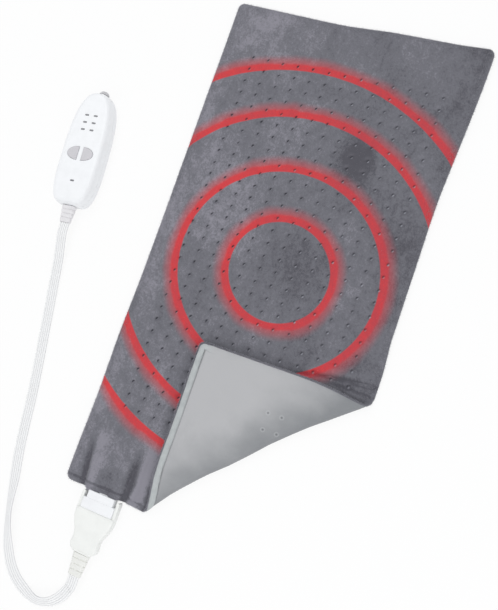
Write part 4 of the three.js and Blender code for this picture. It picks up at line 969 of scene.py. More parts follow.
# The lining's colour: cloudy, with painted shade that darkens it towards the crease and the folded corner's
# far end.
def liningShade(finish, place, y, past):
    cloudy = finish.strands(place, (30.0, 22.0), 4.0)
    woven = finish.strands(place, (2600.0, 1300.0), 2.0, 0.6)
    share = finish.between(past + 26 * (cloudy - 0.5), 8, 62, 0.15, 1.0) + 0.3 * (woven - 0.5)
    share = share - finish.between(y, -235.0, -120.0, 0.0, 0.3) + 0.35 * (cloudy - 0.5)
    return finish.mix(share, colour(lining["dark"]), colour(lining["light"])), woven


def liningFinish():
    finish = Finish("liningCloth", {"Roughness": 0.82, "Sheen Weight": 0.25, "Sheen Roughness": 0.4,
                                    "Specular IOR Level": 0.25})
    place, x, y, past = finish.plan()
    shade, woven = liningShade(finish, place, y, past)
    # painted shade in the groove between the rolled seam and the lining
    seamGrooveShade = finish.between(y - pad["hem"], *lining["seamLine"]) * finish.between(past, 2.0, 10.0)
    shade = finish.mix(seamGrooveShade * 0.4, shade, colour(lining["seam"]))
    # painted shade in each dimple's centre and painted light in a ring round it
    for spotX, spotY in lining["dimples"]:
        near = howFar(x - spotX, y - spotY)
        shade = finish.mix(finish.between(near, 1.5, 0.5) * 0.6, shade, colour(lining["seam"]))
        dimpleRimLight = finish.between(near, 3.2, 2.2) * finish.between(near, 1.4, 2.0)
        shade = finish.mix(dimpleRimLight * 0.25, shade, colour(lining["dimpleRimLight"]))
    finish.give("Base Color", shade)
    finish.give("Roughness", 0.82 + 0.15 * (woven - 0.5))
    finish.give("Normal", finish.bump(woven, 0.12, 0.5))
    return finish.material


liningPiece = makeLayer("backLining", lining["inset"], 0.15, lining["thickness"], lining["step"],
                        liningFinish(), relief=liningRelief)
seat(liningPiece, "pad", ["cover_back"])
felts = {"inset": 9.2, "lower": (1.3, 2.8), "upper": (5.5, 7.0), "trim": 50, "step": 6.0,
         "light": "ebe9e2", "dark": "d6d3c9"}
needled = feltFinish()
for name, node, levels in (("lowerFelt", "insulation_lower", felts["lower"]),
                           ("upperFelt", "insulation_upper", felts["upper"])):
    felt = makeLayer(name, felts["inset"], *levels, felts["step"], needled, felts["trim"])
    seat(felt, "pad", [node])


# The heating wire: a merged copy of the CAD node's mesh, pressed at the bend as the layers are.
def makeWire():
    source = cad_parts["heating_wire"]
    mesh = source.data.copy()
    mesh.transform(source.matrix_world)
    shape = bmesh.new()
    shape.from_mesh(mesh)
    bmesh.ops.remove_doubles(shape, verts=shape.verts, dist=0.001 * mm)
    shape.to_mesh(mesh)
    shape.free()
    painted(mesh, finishes["wire"])
    mesh.vertices.foreach_set("co", (pressed(rowsOf(mesh.vertices, "co") / mm) * mm).ravel())
    mesh.update()
    return placed("heatingWire", mesh)


seat(makeWire(), "pad", ["heating_wire"])
print("lining and felts folded, wire laid in")

# The rolled seam between plush and lining
seam = {"near": 2.3, "width": 6.7, "height": 2.5, "proud": 1.25, "flatNear": 1.3, "flatWidth": 9.4,
        "flatProud": -0.1, "rolled": (284, 297), "sides": 20, "step": 1.6,
        "light": "c6caca", "dark": "8d9295", "wrap": 0.18, "waves": [(4.2, 0.4, 21), (30, 0.5, 22)],
        "traced": 5.5, "flatPower": 0.25, "lifts": (0, 12), "lowShare": 1.15}


# Points round the pad's outline at a distance in from its edge, counter-clockwise.
def outlineAt(fromEdge, step):
    radius = max(pad["corner"] - fromEdge, 1.2)
    halfX, halfY = (pad[side] / 2 - fromEdge - radius for side in ("width", "length"))
    corners = [(halfX, halfY, 0), (-halfX, halfY, 1), (-halfX, -halfY, 2), (halfX, -halfY, 3)]
    line = []
    for x, y, quarter in corners:
        for angle in (quarter + np.linspace(0, 1, 13)) * math.pi / 2:
            line.append((x + radius * math.cos(angle), y + radius * math.sin(angle)))
    line = np.array([*line, line[0]])
    run = np.sum(np.linalg.norm(np.diff(line, axis=0), axis=1))
    return spaced(line, round(run / step) + 1)[:-1]


def makeSeam():
    middle = outlineAt(seam["traced"], seam["step"])
    way = unit(np.roll(middle, -1, 0) - np.roll(middle, 1, 0))
    inwards = np.stack([-way[:, 1], way[:, 0]], 1)
    angles = turnOf(seam["sides"])
    run = np.arange(len(middle)) * seam["step"]
    rolled = smoothStep(-middle[:, 1], *seam["rolled"])
    near, width, proud = (seam[flat] + (seam[full] - seam[flat]) * rolled for flat, full in
                          (("flatNear", "near"), ("flatWidth", "width"), ("flatProud", "proud")))
    middle = middle + inwards * (near + width / 2 - seam["traced"])[:, None]
    wrap = 1 + seam["wrap"] * rolled * wavesAt(run, 0 * run, seam["waves"])
    rings = []
    for angle in angles:
        power = seam["flatPower"] + (1 - seam["flatPower"]) * rolled
        turnX, turnZ = (math.copysign(1, side) * abs(side) ** power
                        for side in (math.cos(angle), math.sin(angle)))
        across = turnX * width / 2 * wrap
        plan = middle + inwards * across[:, None]
        x, y = drawn(*plan.T)
        bottom = -proud * smoothStep(pastFold(x, y), *seam["lifts"])
        z = (seam["height"] + bottom) / 2 + turnZ * (seam["height"] - bottom) / 2 * wrap
        rings.append(np.stack([x, y, np.maximum(z, np.minimum(bottom * seam["lowShare"], bottom))], 1))
    points = np.stack(rings, 1)
    count, sides = points.shape[:2]
    points = points.reshape(-1, 3)
    faces = []
    for i in range(count):
        here, there = i * sides, (i + 1) % count * sides
        faces += [[here + k, there + k, there + (k + 1) % sides, here + (k + 1) % sides]
                  for k in range(sides)]
    piece = newMesh("rolledSeam", folded(points), faces, seamFinish(), 180)
    keepMap(piece, "plan", points[:, :2] * mm)
    keepValue(piece, "rolled", np.repeat(rolled, sides))
    return piece


def seamFinish():
    finish = Finish("seamCloth", {"Roughness": 0.85, "Sheen Weight": 0.3, "Sheen Roughness": 0.45,
                                  "Specular IOR Level": 0.2})
    place, _, y, past = finish.plan()
    woven = finish.strands(place, (1600.0, 1600.0), 3.0, 0.6)
    cloudy = finish.strands(place, (120.0, 120.0))
    share = 0.7 + 0.5 * (woven - 0.5) + 0.7 * (cloudy - 0.5)
    # the flat seam takes the lining's colour, painted shade and all
    plain, _ = liningShade(finish, place, y, past)
    shade = finish.mix(share, colour(seam["dark"]), colour(seam["light"]))
    finish.give("Base Color", finish.mix(finish.kept("rolled"), plain, shade))
    finish.give("Normal", finish.bump(woven, 0.25, 0.6))
    return finish.material


seamPiece = seat(makeSeam(), "pad", ["edge_piping"])

# Stitches: one row beside the rolled seam on the folded corner, one in the hem's groove
stitch = {"long": 2.3, "thick": 0.42, "pitch": 3.3, "besideSeam": 9.9, "height": 0.16,
          "across": (-30, 140), "hemAcross": (-140, -72),
          "seamShades": ("85888c", "a9acaf"), "hemShades": ("505057", "6b6b73")}


def makeStitches():
    count = lambda ends: round((ends[1] - ends[0]) / stitch["pitch"])
    x = np.linspace(*stitch["across"], count(stitch["across"]))
    plan = np.stack(drawn(x, 0 * x + pad["hem"] + stitch["besideSeam"]), 1)
    row = folded(np.column_stack([plan, 0 * x + stitch["height"]]))
    ways = np.gradient(row, axis=0)
    x = np.linspace(*stitch["hemAcross"], count(stitch["hemAcross"]))
    spots = []
    for spotX, spotY in np.stack(drawn(x, 0 * x + pad["hem"] + hem["groove"]), 1):
        hit, place, *_ = plushPiece.ray_cast(Vector((spotX * mm, spotY * mm, 0.1)), Vector((0, 0, -1)))
        if hit:
            spots.append(np.array(place) / mm)
    spots = np.array(spots)
    threads = []
    angles = turnOf(8)
    for places, along, name, kind in ((row, ways, "lining", "seam"),
                                      (spots, np.gradient(spots, axis=0), "hem", "hem")):
        rings = []
        for share in np.linspace(-1, 1, 7):
            girth = stitch["thick"] / 2 * math.sqrt(max(1 - share ** 4, 0.04))
            rings.append([(girth * math.cos(a), girth * math.sin(a), share * stitch["long"] / 2)
                          for a in angles])
        thread = newMesh("thread", *loft(rings), finishes["white"])
        finish = threadFinish(kind + "Thread", *stitch[kind + "Shades"])
        threads.append(placeCopies(name + "Stitches", places, along, thread, finish))
    return threads


def threadFinish(name, dark, light):
    finish = Finish(name, {"Roughness": 0.7, "Sheen Weight": 0.2})
    twist = finish.noise(finish.objectPlace(), 3200.0, 2.0)
    finish.give("Base Color", finish.mix(twist, colour(dark), colour(light)))
    finish.give("Normal", finish.bump(twist, 0.05))
    return finish.material


for threads in makeStitches():
    seat(threads, "pad")
print("seam rolled and stitched")


# Outlines and tools for the moulded pieces
def roundedBox(halfWidth, halfHeight, radius, steps=8):
    centres = [(halfWidth - radius, halfHeight - radius), (radius - halfWidth, halfHeight - radius),
               (radius - halfWidth, radius - halfHeight), (halfWidth - radius, radius - halfHeight)]
    return np.array([(x + radius * math.cos(angle), y + radius * math.sin(angle))
                     for quarter, (x, y) in enumerate(centres)
                     for angle in (quarter + np.linspace(0, 1, steps + 1)) * math.pi / 2])


def mirroredSide(shares, length, halfWidth, count):
    side = spaced(plainSpline([(out * halfWidth, along * length) for along, out in shares]), count)
    return np.concatenate([side, sided(side, -1)])


# An outline drawn for the right side, or its mirror for the left.
def sided(outline, sign):
    return outline if sign > 0 else (outline * (-1, 1))[::-1]


# Moves an outline inwards along its own normals.
def inset(outline, distance):
    way = unit(outline - np.roll(outline, 1, 0), 1e-9)
    middle = unit(way + unit(np.roll(outline, -1, 0) - outline, 1e-9))
    reach = distance / np.maximum(np.sum(middle * way, 1), 0.5)
    return outline + np.stack([-middle[:, 1], middle[:, 0]], 1) * reach[:, None]


def level(outline, z):
    return np.column_stack([outline, np.full(len(outline), z)])


# What was built upwards then runs out of a housing's end, along -Y.
def outwards(shape):
    points, faces = shape
    return points[:, [0, 2, 1]] * (1, -1, 1), faces


def moved(shape, x=0, y=0, z=0):
    return shape[0] + (x, y, z), shape[1]


def block(x0, x1, y0, y1, z0, z1):
    corners = [(x0, y0), (x1, y0), (x1, y1), (x0, y1)]
    return loft([[(x, y, z) for x, y in corners] for z in (z0, z1)])


def post(radius, x, y, z0, z1, sides=40):
    angles = turnOf(sides)
    ring = np.stack([x + radius * np.cos(angles), y + radius * np.sin(angles)], 1)
    return loft([level(ring, z0), level(ring, z1)])


def rod(radius, x, z, y0, y1, sides=40):
    return moved(outwards(post(radius, 0, 0, -y1, -y0, sides)), x, 0, z)


def toolFrom(shape, place):
    return newMesh("tool", place(shape[0]), shape[1], finishes["white"])


def intoHandset(points):
    x, y, z = np.asarray(points, float).T
    return np.stack(onHandset(x, y, z), 1)


def intoConnector(points):
    return np.asarray(points, float) + (ribbon["socketX"], ribbon["seamY"], ribbon["plugLevel"])


# A moulded piece from closed shapes, less its cuts, with its sharp edges eased.
def mould(name, place, shape, finish, adds=(), cuts=(), ease=0.0, smoothUnder=32):
    piece = newMesh(name, place(shape[0]), shape[1], finish, smoothUnder)
    if adds:
        carve(piece, [toolFrom(tool, place) for tool in adds], join=True)
    if cuts:
        carve(piece, [toolFrom(tool, place) for tool in cuts])
    if ease:
        change = piece.modifiers.new("ease", "BEVEL")
        change.width = ease * mm
        change.segments = 3
        change.limit_method = "ANGLE"
        change.angle_limit = math.radians(35)
        change.use_clamp_overlap = True
        settle(piece)
    painted(piece.data, finish)
    smoothed(piece.data, smoothUnder)
    return piece


# Handset: two shells, two D buttons and their small parts
handset = {
    "length": 148, "halfWidth": 28.6, "height": 22.5, "split": 10.5, "gap": 0.3, "wall": 2, "face": 6.5,
    "shares": [(0, 0.37), (0.012, 0.6), (0.05, 0.78), (0.11, 0.895), (0.19, 0.965), (0.3, 1), (0.45, 1),
               (0.58, 0.99), (0.7, 0.945), (0.8, 0.865), (0.89, 0.735), (0.955, 0.55), (0.988, 0.36),
               (1, 0.2)],
    "frontEdge": [(1, 0), (0.72, 0.025), (0.5, 0.08), (0.25, 0.25), (0.1, 0.56), (0.02, 0.85), (0, 1)],
    "backEdge": [(0.7, 0), (0.22, 0.07), (0.06, 0.23), (0, 0.6), (0, 1)],
    "buttonsAt": 65, "span": 35.4, "buttonHeight": 17.2, "between": 6, "play": 0.35, "proud": 1.0,
    "light": (5, 1.8), "lightPitch": (12.2, 9.5), "lightsAt": 96.5, "powerLight": 29.6,
    "screws": (17, 24), "relief": (18.6, 10), "neckShares": (0.66, 0.58),
    "glandX": 2.3, "glandNeck": 4, "glandBore": 2.6, "glandRadius": 6.5, "glandTip": 4.6, "glandProud": 4.4,
    "glandFlange": 1.4, "glandInside": -4.3,
    "screwHead": 2.8, "screwShank": 1.4, "screwHigh": 1.5, "screwLong": 15, "screwSink": 2,
    "threads": 18, "threadPitch": 0.7, "cross": (1.7, 0.35),
    "post": (3.4, 7.9), "boss": (4.6, 5.7), "headRoom": (3.1, 3.8), "stem": (2.4, 13.4),   # radius, height
    "rimOut": 1.2, "rimDown": (3.2, 2.0), "heart": (26, 24), "lightPlay": 0.25, "ovalShare": 0.45,
    "reliefRoom": -5, "glandRoom": 6, "overrun": 3,
    "crown": [(0, -3.5), (0, -0.75), (0.08, -0.4), (0.26, -0.15), (0.55, -0.03), (1.0, 0)],   # button's edge
}


def handsetRings(profile, depth, start, way, wall=0.0):
    outline = mirroredSide(handset["shares"], handset["length"], handset["halfWidth"], 96)
    near, far = handset["heart"]
    heart = np.stack([0 * outline[:, 0], np.clip(outline[:, 1], near, handset["length"] - far)], 1)
    towards = unit(heart - outline)
    rings = []
    for inwards, deep in spaced(plainSpline(profile), 18):
        deepness = max(deep * depth, wall)
        rings.append(level(outline + towards * (inwards * handset["face"] + wall), start + way * deepness))
    return rings, outline, towards


def handsetShell(front):
    top, split, half = handset["height"], handset["split"], handset["gap"] / 2
    start, way, depth = (top, -1, top - split - half) if front else (0, 1, split - half)
    profile = handset["frontEdge"] if front else handset["backEdge"]
    outer, outline, towards = handsetRings(profile, depth, start, way)
    inner, _, _ = handsetRings(profile, depth, start, way, handset["wall"])
    face = [level(outline + towards * (profile[0][0] * handset["face"] + more), start) for more in (3.0, 1.2)]
    rings = [*face, *outer, *inner[::-1]]
    return loft(rings[::-1] if front else rings)


def buttonOutline(sign, grow=0.0):
    half = handset["between"] / 2
    reach = handset["span"] / 2 - half
    angles = np.linspace(-math.pi / 2, math.pi / 2, 41)
    points = np.stack([half + reach * np.cos(angles), handset["buttonHeight"] / 2 * np.sin(angles)], 1)
    return inset(sided(points, sign), -grow) + (0, handset["buttonsAt"])


def lightPlaces():
    places = [(side * handset["lightPitch"][0] / 2, handset["lightsAt"] + row * handset["lightPitch"][1])
              for row in range(3) for side in (-1, 1)]
    return [*places, (0, handset["powerLight"])]


def neckHole(width, thickness, more, start, end):
    wide, thick = (side * share for side, share in zip((width, thickness), handset["neckShares"]))
    neck = roundedBox(wide / 2 + more, thick / 2 + more, thick * handset["ovalShare"])
    return outwards(loft([level(neck, start), level(neck, end)]))


def makeHandset():
    top, split, gap, wall = (handset[name] for name in ("height", "split", "gap", "wall"))
    length, over = handset["length"], handset["overrun"]
    openings = [moved(neckHole(*handset["relief"], gap, handset["reliefRoom"], over), 0, 0, split),
                rod(handset["glandNeck"] + gap, handset["glandX"], split, length - handset["glandRoom"],
                    length + over)]
    through = lambda outline: loft([level(outline, top - wall - over), level(outline, top + over)])
    cuts = [through(buttonOutline(sign, handset["play"])) for sign in (-1, 1)]
    halfLong, halfWide = (size / 2 for size in handset["light"])
    play = handset["lightPlay"]
    for x, y in lightPlaces():
        cuts.append(through(roundedBox(halfLong + play, halfWide + play, halfWide + 0.8 * play) + (x, y)))
    places = [(sign * handset["screws"][0], y) for sign in (-1, 1)
              for y in (handset["screws"][1], length - handset["screws"][1])]
    (postWide, postLow), (bossWide, bossTop), (roomWide, roomTop), (stemWide, stemLow) = (
        handset[name] for name in ("post", "boss", "headRoom", "stem"))
    posts = [post(postWide, x, y, postLow, top - wall / 2) for x, y in places]
    front = mould("handsetFront", intoHandset, handsetShell(True), finishes["white"], posts,
                  [*cuts, *openings])
    seat(front, "control_set", ["controller_front_shell"])
    bosses = [post(bossWide, x, y, wall / 2, bossTop) for x, y in places]
    seats = [post(roomWide, x, y, -2, roomTop) for x, y in places]
    back = mould("handsetBack", intoHandset, handsetShell(False), finishes["white"], bosses,
                 [*seats, *openings])
    seat(back, "control_set", ["controller_back_shell"])
    crest = top + handset["proud"]
    under = crest - wall - gap
    for sign, name in ((-1, "power"), (1, "heat")):
        rings = [level(buttonOutline(sign, -inwards), crest + down) for inwards, down in handset["crown"]]
        rim = [level(buttonOutline(sign, handset["rimOut"]), under - down) for down in handset["rimDown"]]
        stem = post(stemWide, sign * (handset["between"] / 2 + (handset["span"] - handset["between"]) / 4),
                    handset["buttonsAt"], stemLow, crest - 4)
        shape = loft([*rim, level(buttonOutline(sign), under - handset["rimDown"][-1]), *rings])
        cap = mould(name + "Button", intoHandset, shape, finishes["button"], [stem])
        seat(cap, "button_" + name, ["button_" + name])
    makeGland()
    makeScrews(places)
    print("handset moulded")


# A ring or bushing turned about the Y axis: the profile's rows are (radius, y), closed on itself.
def turned(profile, sides=56):
    angles = turnOf(sides)
    rings = [[(radius * math.cos(a), y, -radius * math.sin(a)) for a in angles] for radius, y in profile]
    points, faces = loft(rings, False, False)
    last = (len(profile) - 1) * sides
    faces += [[last + i, last + (i + 1) % sides, (i + 1) % sides, i] for i in range(sides)]
    return points, faces


# The mains bushing: a flange inside the wall, a neck through it, and a ribbed, rounded nose, open inside.
def makeGland():
    neck, bore, inside = handset["glandNeck"], handset["glandBore"], handset["glandInside"]
    wide, tip, proud, flange = (handset["gland" + name] for name in ("Radius", "Tip", "Proud", "Flange"))
    gap = handset["gap"]
    nose = []
    for share in np.linspace(0, 1, 26):
        radius = wide + (tip - wide) * share ** 1.6 - 0.35 * (math.cos(share * 6 * math.pi) < -0.3)
        nose.append((radius, gap + share * (proud - gap - 0.8)))
    rounded = [(tip - 0.9 * (1 - math.cos(a)) - 0.05, proud - 0.8 + 0.8 * math.sin(a))
               for a in np.linspace(0.1, math.pi / 2, 7)]
    profile = [(bore, inside - flange), (neck + flange, inside - flange), (neck + flange, inside),
               (neck, inside), (neck, gap), *nose, *rounded, (bore + 0.5, proud), (bore, proud - 0.5)]
    shape = moved(turned(profile), handset["glandX"], handset["length"], handset["split"])
    faces = [face[::-1] for face in shape[1]]
    piece = newMesh("mainsGland", intoHandset(shape[0]), faces, finishes["gland"], 30)
    seat(piece, "control_set", ["mains_gland"])


# Countersunk back screws with a cross recess, one copy at each boss.
def makeScrews(places):
    head, shank, high, long, sink = (
        handset["screw" + name] for name in ("Head", "Shank", "High", "Long", "Sink"))
    angles = turnOf(32)
    ring = lambda radius, z: [(radius * math.cos(a), radius * math.sin(a), z) for a in angles]
    profile = [(head - 0.4, 0), (head - 0.1, 0.15), (head, 0.45), (head, high), (shank, high)]
    for i in range(handset["threads"]):
        root = high + 0.2 + i * handset["threadPitch"]
        profile += [(shank - 0.25, root), (shank, high + 0.55 + i * handset["threadPitch"])]
    profile += [(shank * 0.7, high + long - 0.8), (0.15, high + long)]
    part = newMesh("screw", *loft([ring(*row) for row in profile]), finishes["steel"])
    slots = [newMesh("slot", *block(-a, a, -b, b, -1, 0.8), finishes["steel"])
             for a, b in (handset["cross"], handset["cross"][::-1])]
    carve(part, slots)
    spots = intoHandset([(x, y, sink) for x, y in places])
    ways = [(0, 0, 1)] * len(places)
    spins = np.random.default_rng(12).uniform(0, math.pi, len(places))
    piece = placeCopies("handsetScrews", spots, ways, part, finishes["steel"], None, spins)
    seat(piece, "control_set", [f"screw_{i}" for i in range(1, 5)])


makeHandset()

# Socket, plug, latches and reliefs
connector = {
    "tail": (32, 7, -34), "neck": (34, 11.4), "head": (40.8, 12.4), "seamToHem": 21, "neckLength": 9,
    "edge": 1.6, "mouth": (29, 6.6, 15), "pinPitch": 6.4, "pinRoom": 1.2,
    "plugLength": 48, "plugHalf": 24.3, "plugThick": 13, "wall": 1.6, "round": 3.2,
    "plugShares": [(0, 0.985), (0.1, 1), (0.24, 0.965), (0.38, 0.86), (0.52, 0.725), (0.64, 0.675),
                   (0.74, 0.675), (0.83, 0.69), (0.91, 0.64), (0.965, 0.52), (1, 0.43)],
    "latchArm": 3.4, "latchTip": 1.2, "latchReach": 18.6, "latchGrip": 30, "latchThick": 8.6, "latchDepth": 5,
    "pivot": (5, 1.5), "gripRibs": 5, "gripPitch": 3, "gripsAt": 11, "gap": 0.3,
    "relief": (20.4, 9), "reliefTip": (15.6, 5), "reliefLength": 25,
    "handRelief": (18.6, 10), "handReliefTip": (14.6, 5), "handReliefLength": 21,
    "saddle": 4, "segments": 4, "groove": 0.9, "bar": 2.6, "barSink": 0.35, "sideBar": 0.34,
    "flange": (2.8, 1.4), "softEdge": [(0, 0.5), (0.03, 0.15), (0.07, 0)], "overrun": 0.3,
    "rib": (0.5, 0.6, 1.2),   # half width, half length, less than the latch is thick
}


def plugSide():
    points = [(out * connector["plugHalf"], -along * connector["plugLength"])
              for along, out in connector["plugShares"]]
    return spaced(plainSpline(points), 72)[::-1]


def plugSideAt(y):
    side = plugSide()
    return float(np.interp(y, side[:, 1], side[:, 0]))


def plugShell(way):
    side = plugSide()
    outline = np.concatenate([side, sided(side, -1)])
    half, wall, soft = connector["plugThick"] / 2, connector["wall"], connector["round"]
    angles = np.linspace(0, math.pi / 2, 10)
    outer = [(0, connector["gap"] / 2)]
    outer += [(soft * (1 - math.cos(a)), half - soft * 0.85 * (1 - math.sin(a))) for a in angles]
    inner = [(wall, connector["gap"] / 2), (wall, half - wall - 1.2), (wall + 1.2, half - wall)]
    levels = [level(inset(outline, inwards), way * z) for inwards, z in [*inner[::-1], *outer]]
    return loft(levels if way > 0 else levels[::-1])


def connectorCuts():
    gap, wall, half = connector["gap"], connector["wall"], connector["plugHalf"] + 2
    wide, high = connector["mouth"][0] / 2, connector["mouth"][1] / 2
    arm, latch = connector["head"][0] / 2, connector["latchThick"] / 2 + gap
    cuts = [block(-wide, wide, -wall - 2, 2, -high, high)]
    grip = connector["relief"][0] / 2
    for near, start, end in ((arm, -wall - 2, 2), (grip, -connector["latchGrip"] - gap, -wall - gap)):
        cuts += [block(low, far, start, end, -latch, latch) for low, far in ((-half, -near), (near, half))]
    cordExit = neckHole(*connector["relief"], gap, -wall - 2, 2)
    return [*cuts, moved(cordExit, 0, -connector["plugLength"], 0)]


def latchShape(sign):
    armIn = connector["head"][0] / 2 + connector["gap"]
    armOut, tip = armIn + connector["latchArm"], connector["latchTip"]
    start, reach = -connector["wall"] - 2 * connector["gap"], connector["latchReach"]
    grip = [(plugSideAt(y), y) for y in np.linspace(-connector["latchGrip"], start, 28)]
    outline = [*grip, (armOut, reach - tip), (armOut - tip * 0.3, reach - tip * 0.3), (armOut - tip, reach),
               (armIn + tip, reach), (armIn + tip * 0.3, reach - tip * 0.3), (armIn, reach - tip),
               (armIn, start), *[(x - connector["latchDepth"], y) for x, y in grip[::-1]]]
    outline = sided(np.array(outline), sign)
    half = connector["latchThick"] / 2
    return loft([level(outline, -half), level(outline, half)])


# A relief's tapered segments with grooves between them, bridged in turn at the middle and at the sides.
def reliefShape(size, tip, length, wall):
    gap, groove, count = connector["gap"], connector["groove"], connector["segments"]
    at = lambda s: [a + (b - a) * s for a, b in zip(size, tip)]
    ring = lambda wide, thick, y: level(
        roundedBox(wide / 2, thick / 2, thick * handset["ovalShare"]), y)
    neck = [side * share for side, share in zip(size, handset["neckShares"])]
    more, long = connector["flange"]
    flange = [side + more for side in neck]
    rings = [ring(*flange, -wall - gap - long), ring(*flange, -wall - gap),
             ring(*neck, -wall - gap), ring(*neck, gap)]
    pitch = length / count
    bridges, soft = [], connector["softEdge"]
    for i in range(count):
        last = i == count - 1
        end = 1 if last else 1 - groove / pitch
        for step, shrink in [*soft, *[(end - step, shrink) for step, shrink in soft[::-1]]]:
            wide, thick = at((i + step) / count)
            rings.append(ring(wide - shrink, thick - shrink, gap + (i + step) * pitch))
        if not last:
            wide, thick = (side - 2 * groove for side in at((i + end) / count))
            rings += [ring(wide, thick, gap + (i + end) * pitch), ring(wide, thick, gap + (i + 1) * pitch)]
            wide, thick = at((i + 1) / count)
            spots = [0] if i % 2 == 0 else [-wide * connector["sideBar"], wide * connector["sideBar"]]
            half, tall = connector["bar"] / 2, thick / 2 - connector["barSink"]
            for x in spots:
                bridges.append(block(x - half, x + half, -gap - (i + 1) * pitch - connector["overrun"],
                                     -gap - (i + end) * pitch + connector["overrun"], -tall, tall))
    return outwards(loft(rings)), bridges


def makeSocket():
    tailWide, tailThick, tailLength = connector["tail"]
    reach, edge = connector["seamToHem"], connector["edge"]
    ring = lambda size, y, less=0.0: level(
        roundedBox(size[0] / 2 - less, size[1] / 2 - less, edge - less * 0.5), y)
    tail, neck, head = (tailWide, tailThick), connector["neck"], connector["head"]
    gap, neckEnd = connector["gap"], connector["neckLength"] - reach
    body = outwards(loft([
        ring(tail, -reach + tailLength), ring(tail, gap - reach), ring(neck, gap - reach, 0.4),
        ring(neck, gap - reach + 0.4), ring(neck, neckEnd - 0.05), ring(head, neckEnd - 0.05, 0.5),
        ring(head, neckEnd + 0.15, 0.15), ring(head, neckEnd + 0.5), ring(head, -0.5),
        ring(head, -0.15, 0.15), ring(head, 0, 0.5)]))
    wide, high, deep = connector["mouth"]
    pins = [(i - 1.5) * connector["pinPitch"] for i in range(4)]
    cuts = [block(-wide / 2, wide / 2, -2, deep, -high / 2, high / 2)]
    cuts += [rod(connector["pinRoom"], x, 0, deep - 2, deep + 6.3, 20) for x in pins]
    socket = mould("socketBlock", intoConnector, body, finishes["white"], cuts=cuts)
    seat(socket, "pad", ["socket_housing"])


def makeLatch(sign, name):
    half = connector["plugThick"] / 2
    ribs = []
    ribWide, ribLong, ribLess = connector["rib"]
    for i in range(connector["gripRibs"]):
        y = -connector["gripsAt"] - i * connector["gripPitch"]
        x, tall = sign * plugSideAt(y), connector["latchThick"] / 2 - ribLess
        ribs.append(block(x - ribWide, x + ribWide, y - ribLong, y + ribLong, -tall, tall))
    pivotAt, pivotRoom = connector["pivot"]
    pinX = sign * (plugSideAt(-pivotAt) - connector["latchDepth"] / 2)
    hole = post(pivotRoom, pinX, -pivotAt, -half, half, 24)
    latch = mould(name + "Latch", intoConnector, latchShape(sign), finishes["warm"], ribs, [hole], 0.35)
    return seat(latch, "latch_" + name, ["latch_" + name])


# Gives back what rides on the cord: the plug's shells, latches and relief, and the handset's relief.
def makeConnector():
    pieces = []
    for way, name in ((1, "top"), (-1, "bottom")):
        shell = mould("plug" + name.capitalize(), intoConnector, plugShell(way), finishes["warm"],
                      cuts=connectorCuts())
        pieces.append(seat(shell, "control_set", [f"plug_{name}_shell"]))
    pieces += [makeLatch(sign, name) for sign, name in ((-1, "left"), (1, "right"))]
    for name, into, key, wall, place, finish, node in (
            ("plugRelief", intoConnector, "relief", connector["wall"], (0, -connector["plugLength"], 0),
             "relief", "plug_strain_relief"),
            ("handsetRelief", intoHandset, "handRelief", connector["saddle"], (0, 0, handset["split"]),
             "lilac", "controller_strain_relief")):
        shape, bridges = reliefShape(*(connector[key + part] for part in ("", "Tip", "Length")), wall)
        relief = mould(name, into, moved(shape, *place), finishes[finish],
                       [moved(bridge, *place) for bridge in bridges])
        pieces.append(seat(relief, "control_set", [node]))
    print("connector moulded")
    return pieces


makeSocket()
onCord = makeConnector()
onCord.append(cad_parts["plug_contact_carrier"])
onCord += [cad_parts[f"plug_contact_{i}"] for i in range(1, 5)]
tuple(cordPath[0] * mm)
ribbon["width"] * mm
(cordPath * mm).tolist()

# Pieces kept as the CAD has them
kept = {
    "steel": ["thermal_fuse", "switch_power", "switch_heat"],
    "black": ["temperature_sensor", "triac", "capacitor"],
    "brass": [f"{kind}_{i}" for kind in ("socket_pin", "plug_contact") for i in range(1, 5)],
    "warm": ["plug_contact_carrier"],
    "board": ["circuit_board"],
    "light": [*[f"light_{i}" for i in range(1, 7)], "light_power"],
}
for finish, names in kept.items():
    for name in names:
        painted(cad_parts[name].data, finishes[finish])

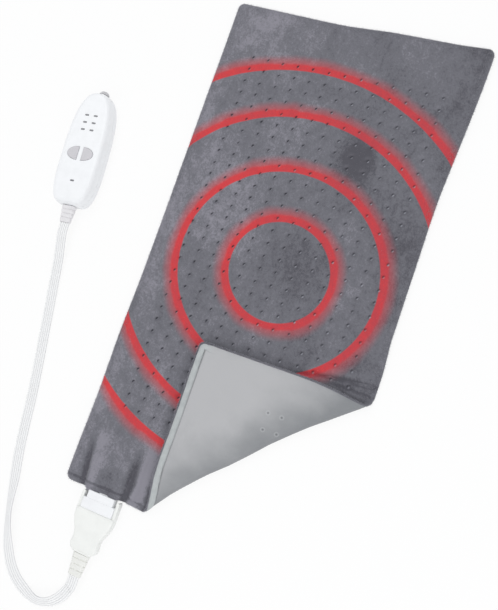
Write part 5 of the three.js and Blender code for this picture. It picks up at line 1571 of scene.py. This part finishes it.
# Light and floor. A level counts how much of a plain white a level surface gets from that light.
studio = {
    "sky": 0.7, "skyShade": (0.97, 0.985, 1.0),
    "lamps": {   # place, size, level
        "key": ((-0.9, 0.9, 1.9), 1.5, 0.16), "fill": ((1.3, -0.9, 1.3), 1.5, 0.12),
        "front": ((-0.3, -1.6, 1.1), 1.3, 0.04)},
    "floorSize": 6.0, "floorDrop": 0.0003, "floorShade": 0.95, "floorGlow": 0.88,
}


def makeLamp(name, place, size, level):
    data = bpy.data.lights.new(name, "AREA")
    data.shape, data.size = "DISK", size
    way = Vector(place)
    data.energy = level * math.pi ** 2 * way.length_squared / (way.z / way.length)
    lamp = placed(name, data)
    lamp.location = way
    lamp.rotation_euler = way.to_track_quat("Z", "Y").to_euler()


# Shows the second look where the camera, a mirror or glass looks, by a share, and the first one elsewhere.
def whereSeen(look, share, first, second, output):
    seen, glossy, glass = (look.node("LightPath", output=name)
                           for name in ("Is Camera Ray", "Is Glossy Ray", "Is Transmission Ray"))
    for ray in (glossy, glass):
        seen = look.node("Math", {"operation": "ADD", "use_clamp": True}, [seen, ray])
    look.feed(look.tree.nodes[output].inputs["Surface"],
              look.node("MixShader", None, [seen * share, first, second]))


def makeStudio():
    sky = Finish("studio", {"Color": (*studio["skyShade"], 1), "Strength": studio["sky"]},
                 bpy.data.worlds, "Background")
    bpy.context.scene.world = sky.material
    backdrop = sky.node("Background", None, {"Color": (1, 1, 1, 1)})
    whereSeen(sky, 1.0, Value(sky, sky.shader.outputs[0]), backdrop, "World Output")
    for name, lamp in studio["lamps"].items():
        makeLamp(name, *lamp)
    half = studio["floorSize"] / 2
    floor = bpy.data.meshes.new("floor")
    corners = [(-half, -half, 0), (half, -half, 0), (half, half, 0), (-half, half, 0)]
    floor.from_pydata(corners, [], [(0, 1, 2, 3)])
    paper = Finish("paper", {"Base Color": (*[studio["floorShade"]] * 3, 1), "Roughness": 1.0,
                             "Specular IOR Level": 0.0})
    whereSeen(paper, studio["floorGlow"], Value(paper, paper.shader.outputs[0]),
              paper.node("Emission"), "Material Output")
    floor.materials.append(paper.material)
    piece = placed("floor", floor)
    piece.location.z = -studio["floorDrop"]
    print("studio lit")


makeStudio()
bpy.context.scene.view_settings.view_transform = "Standard"
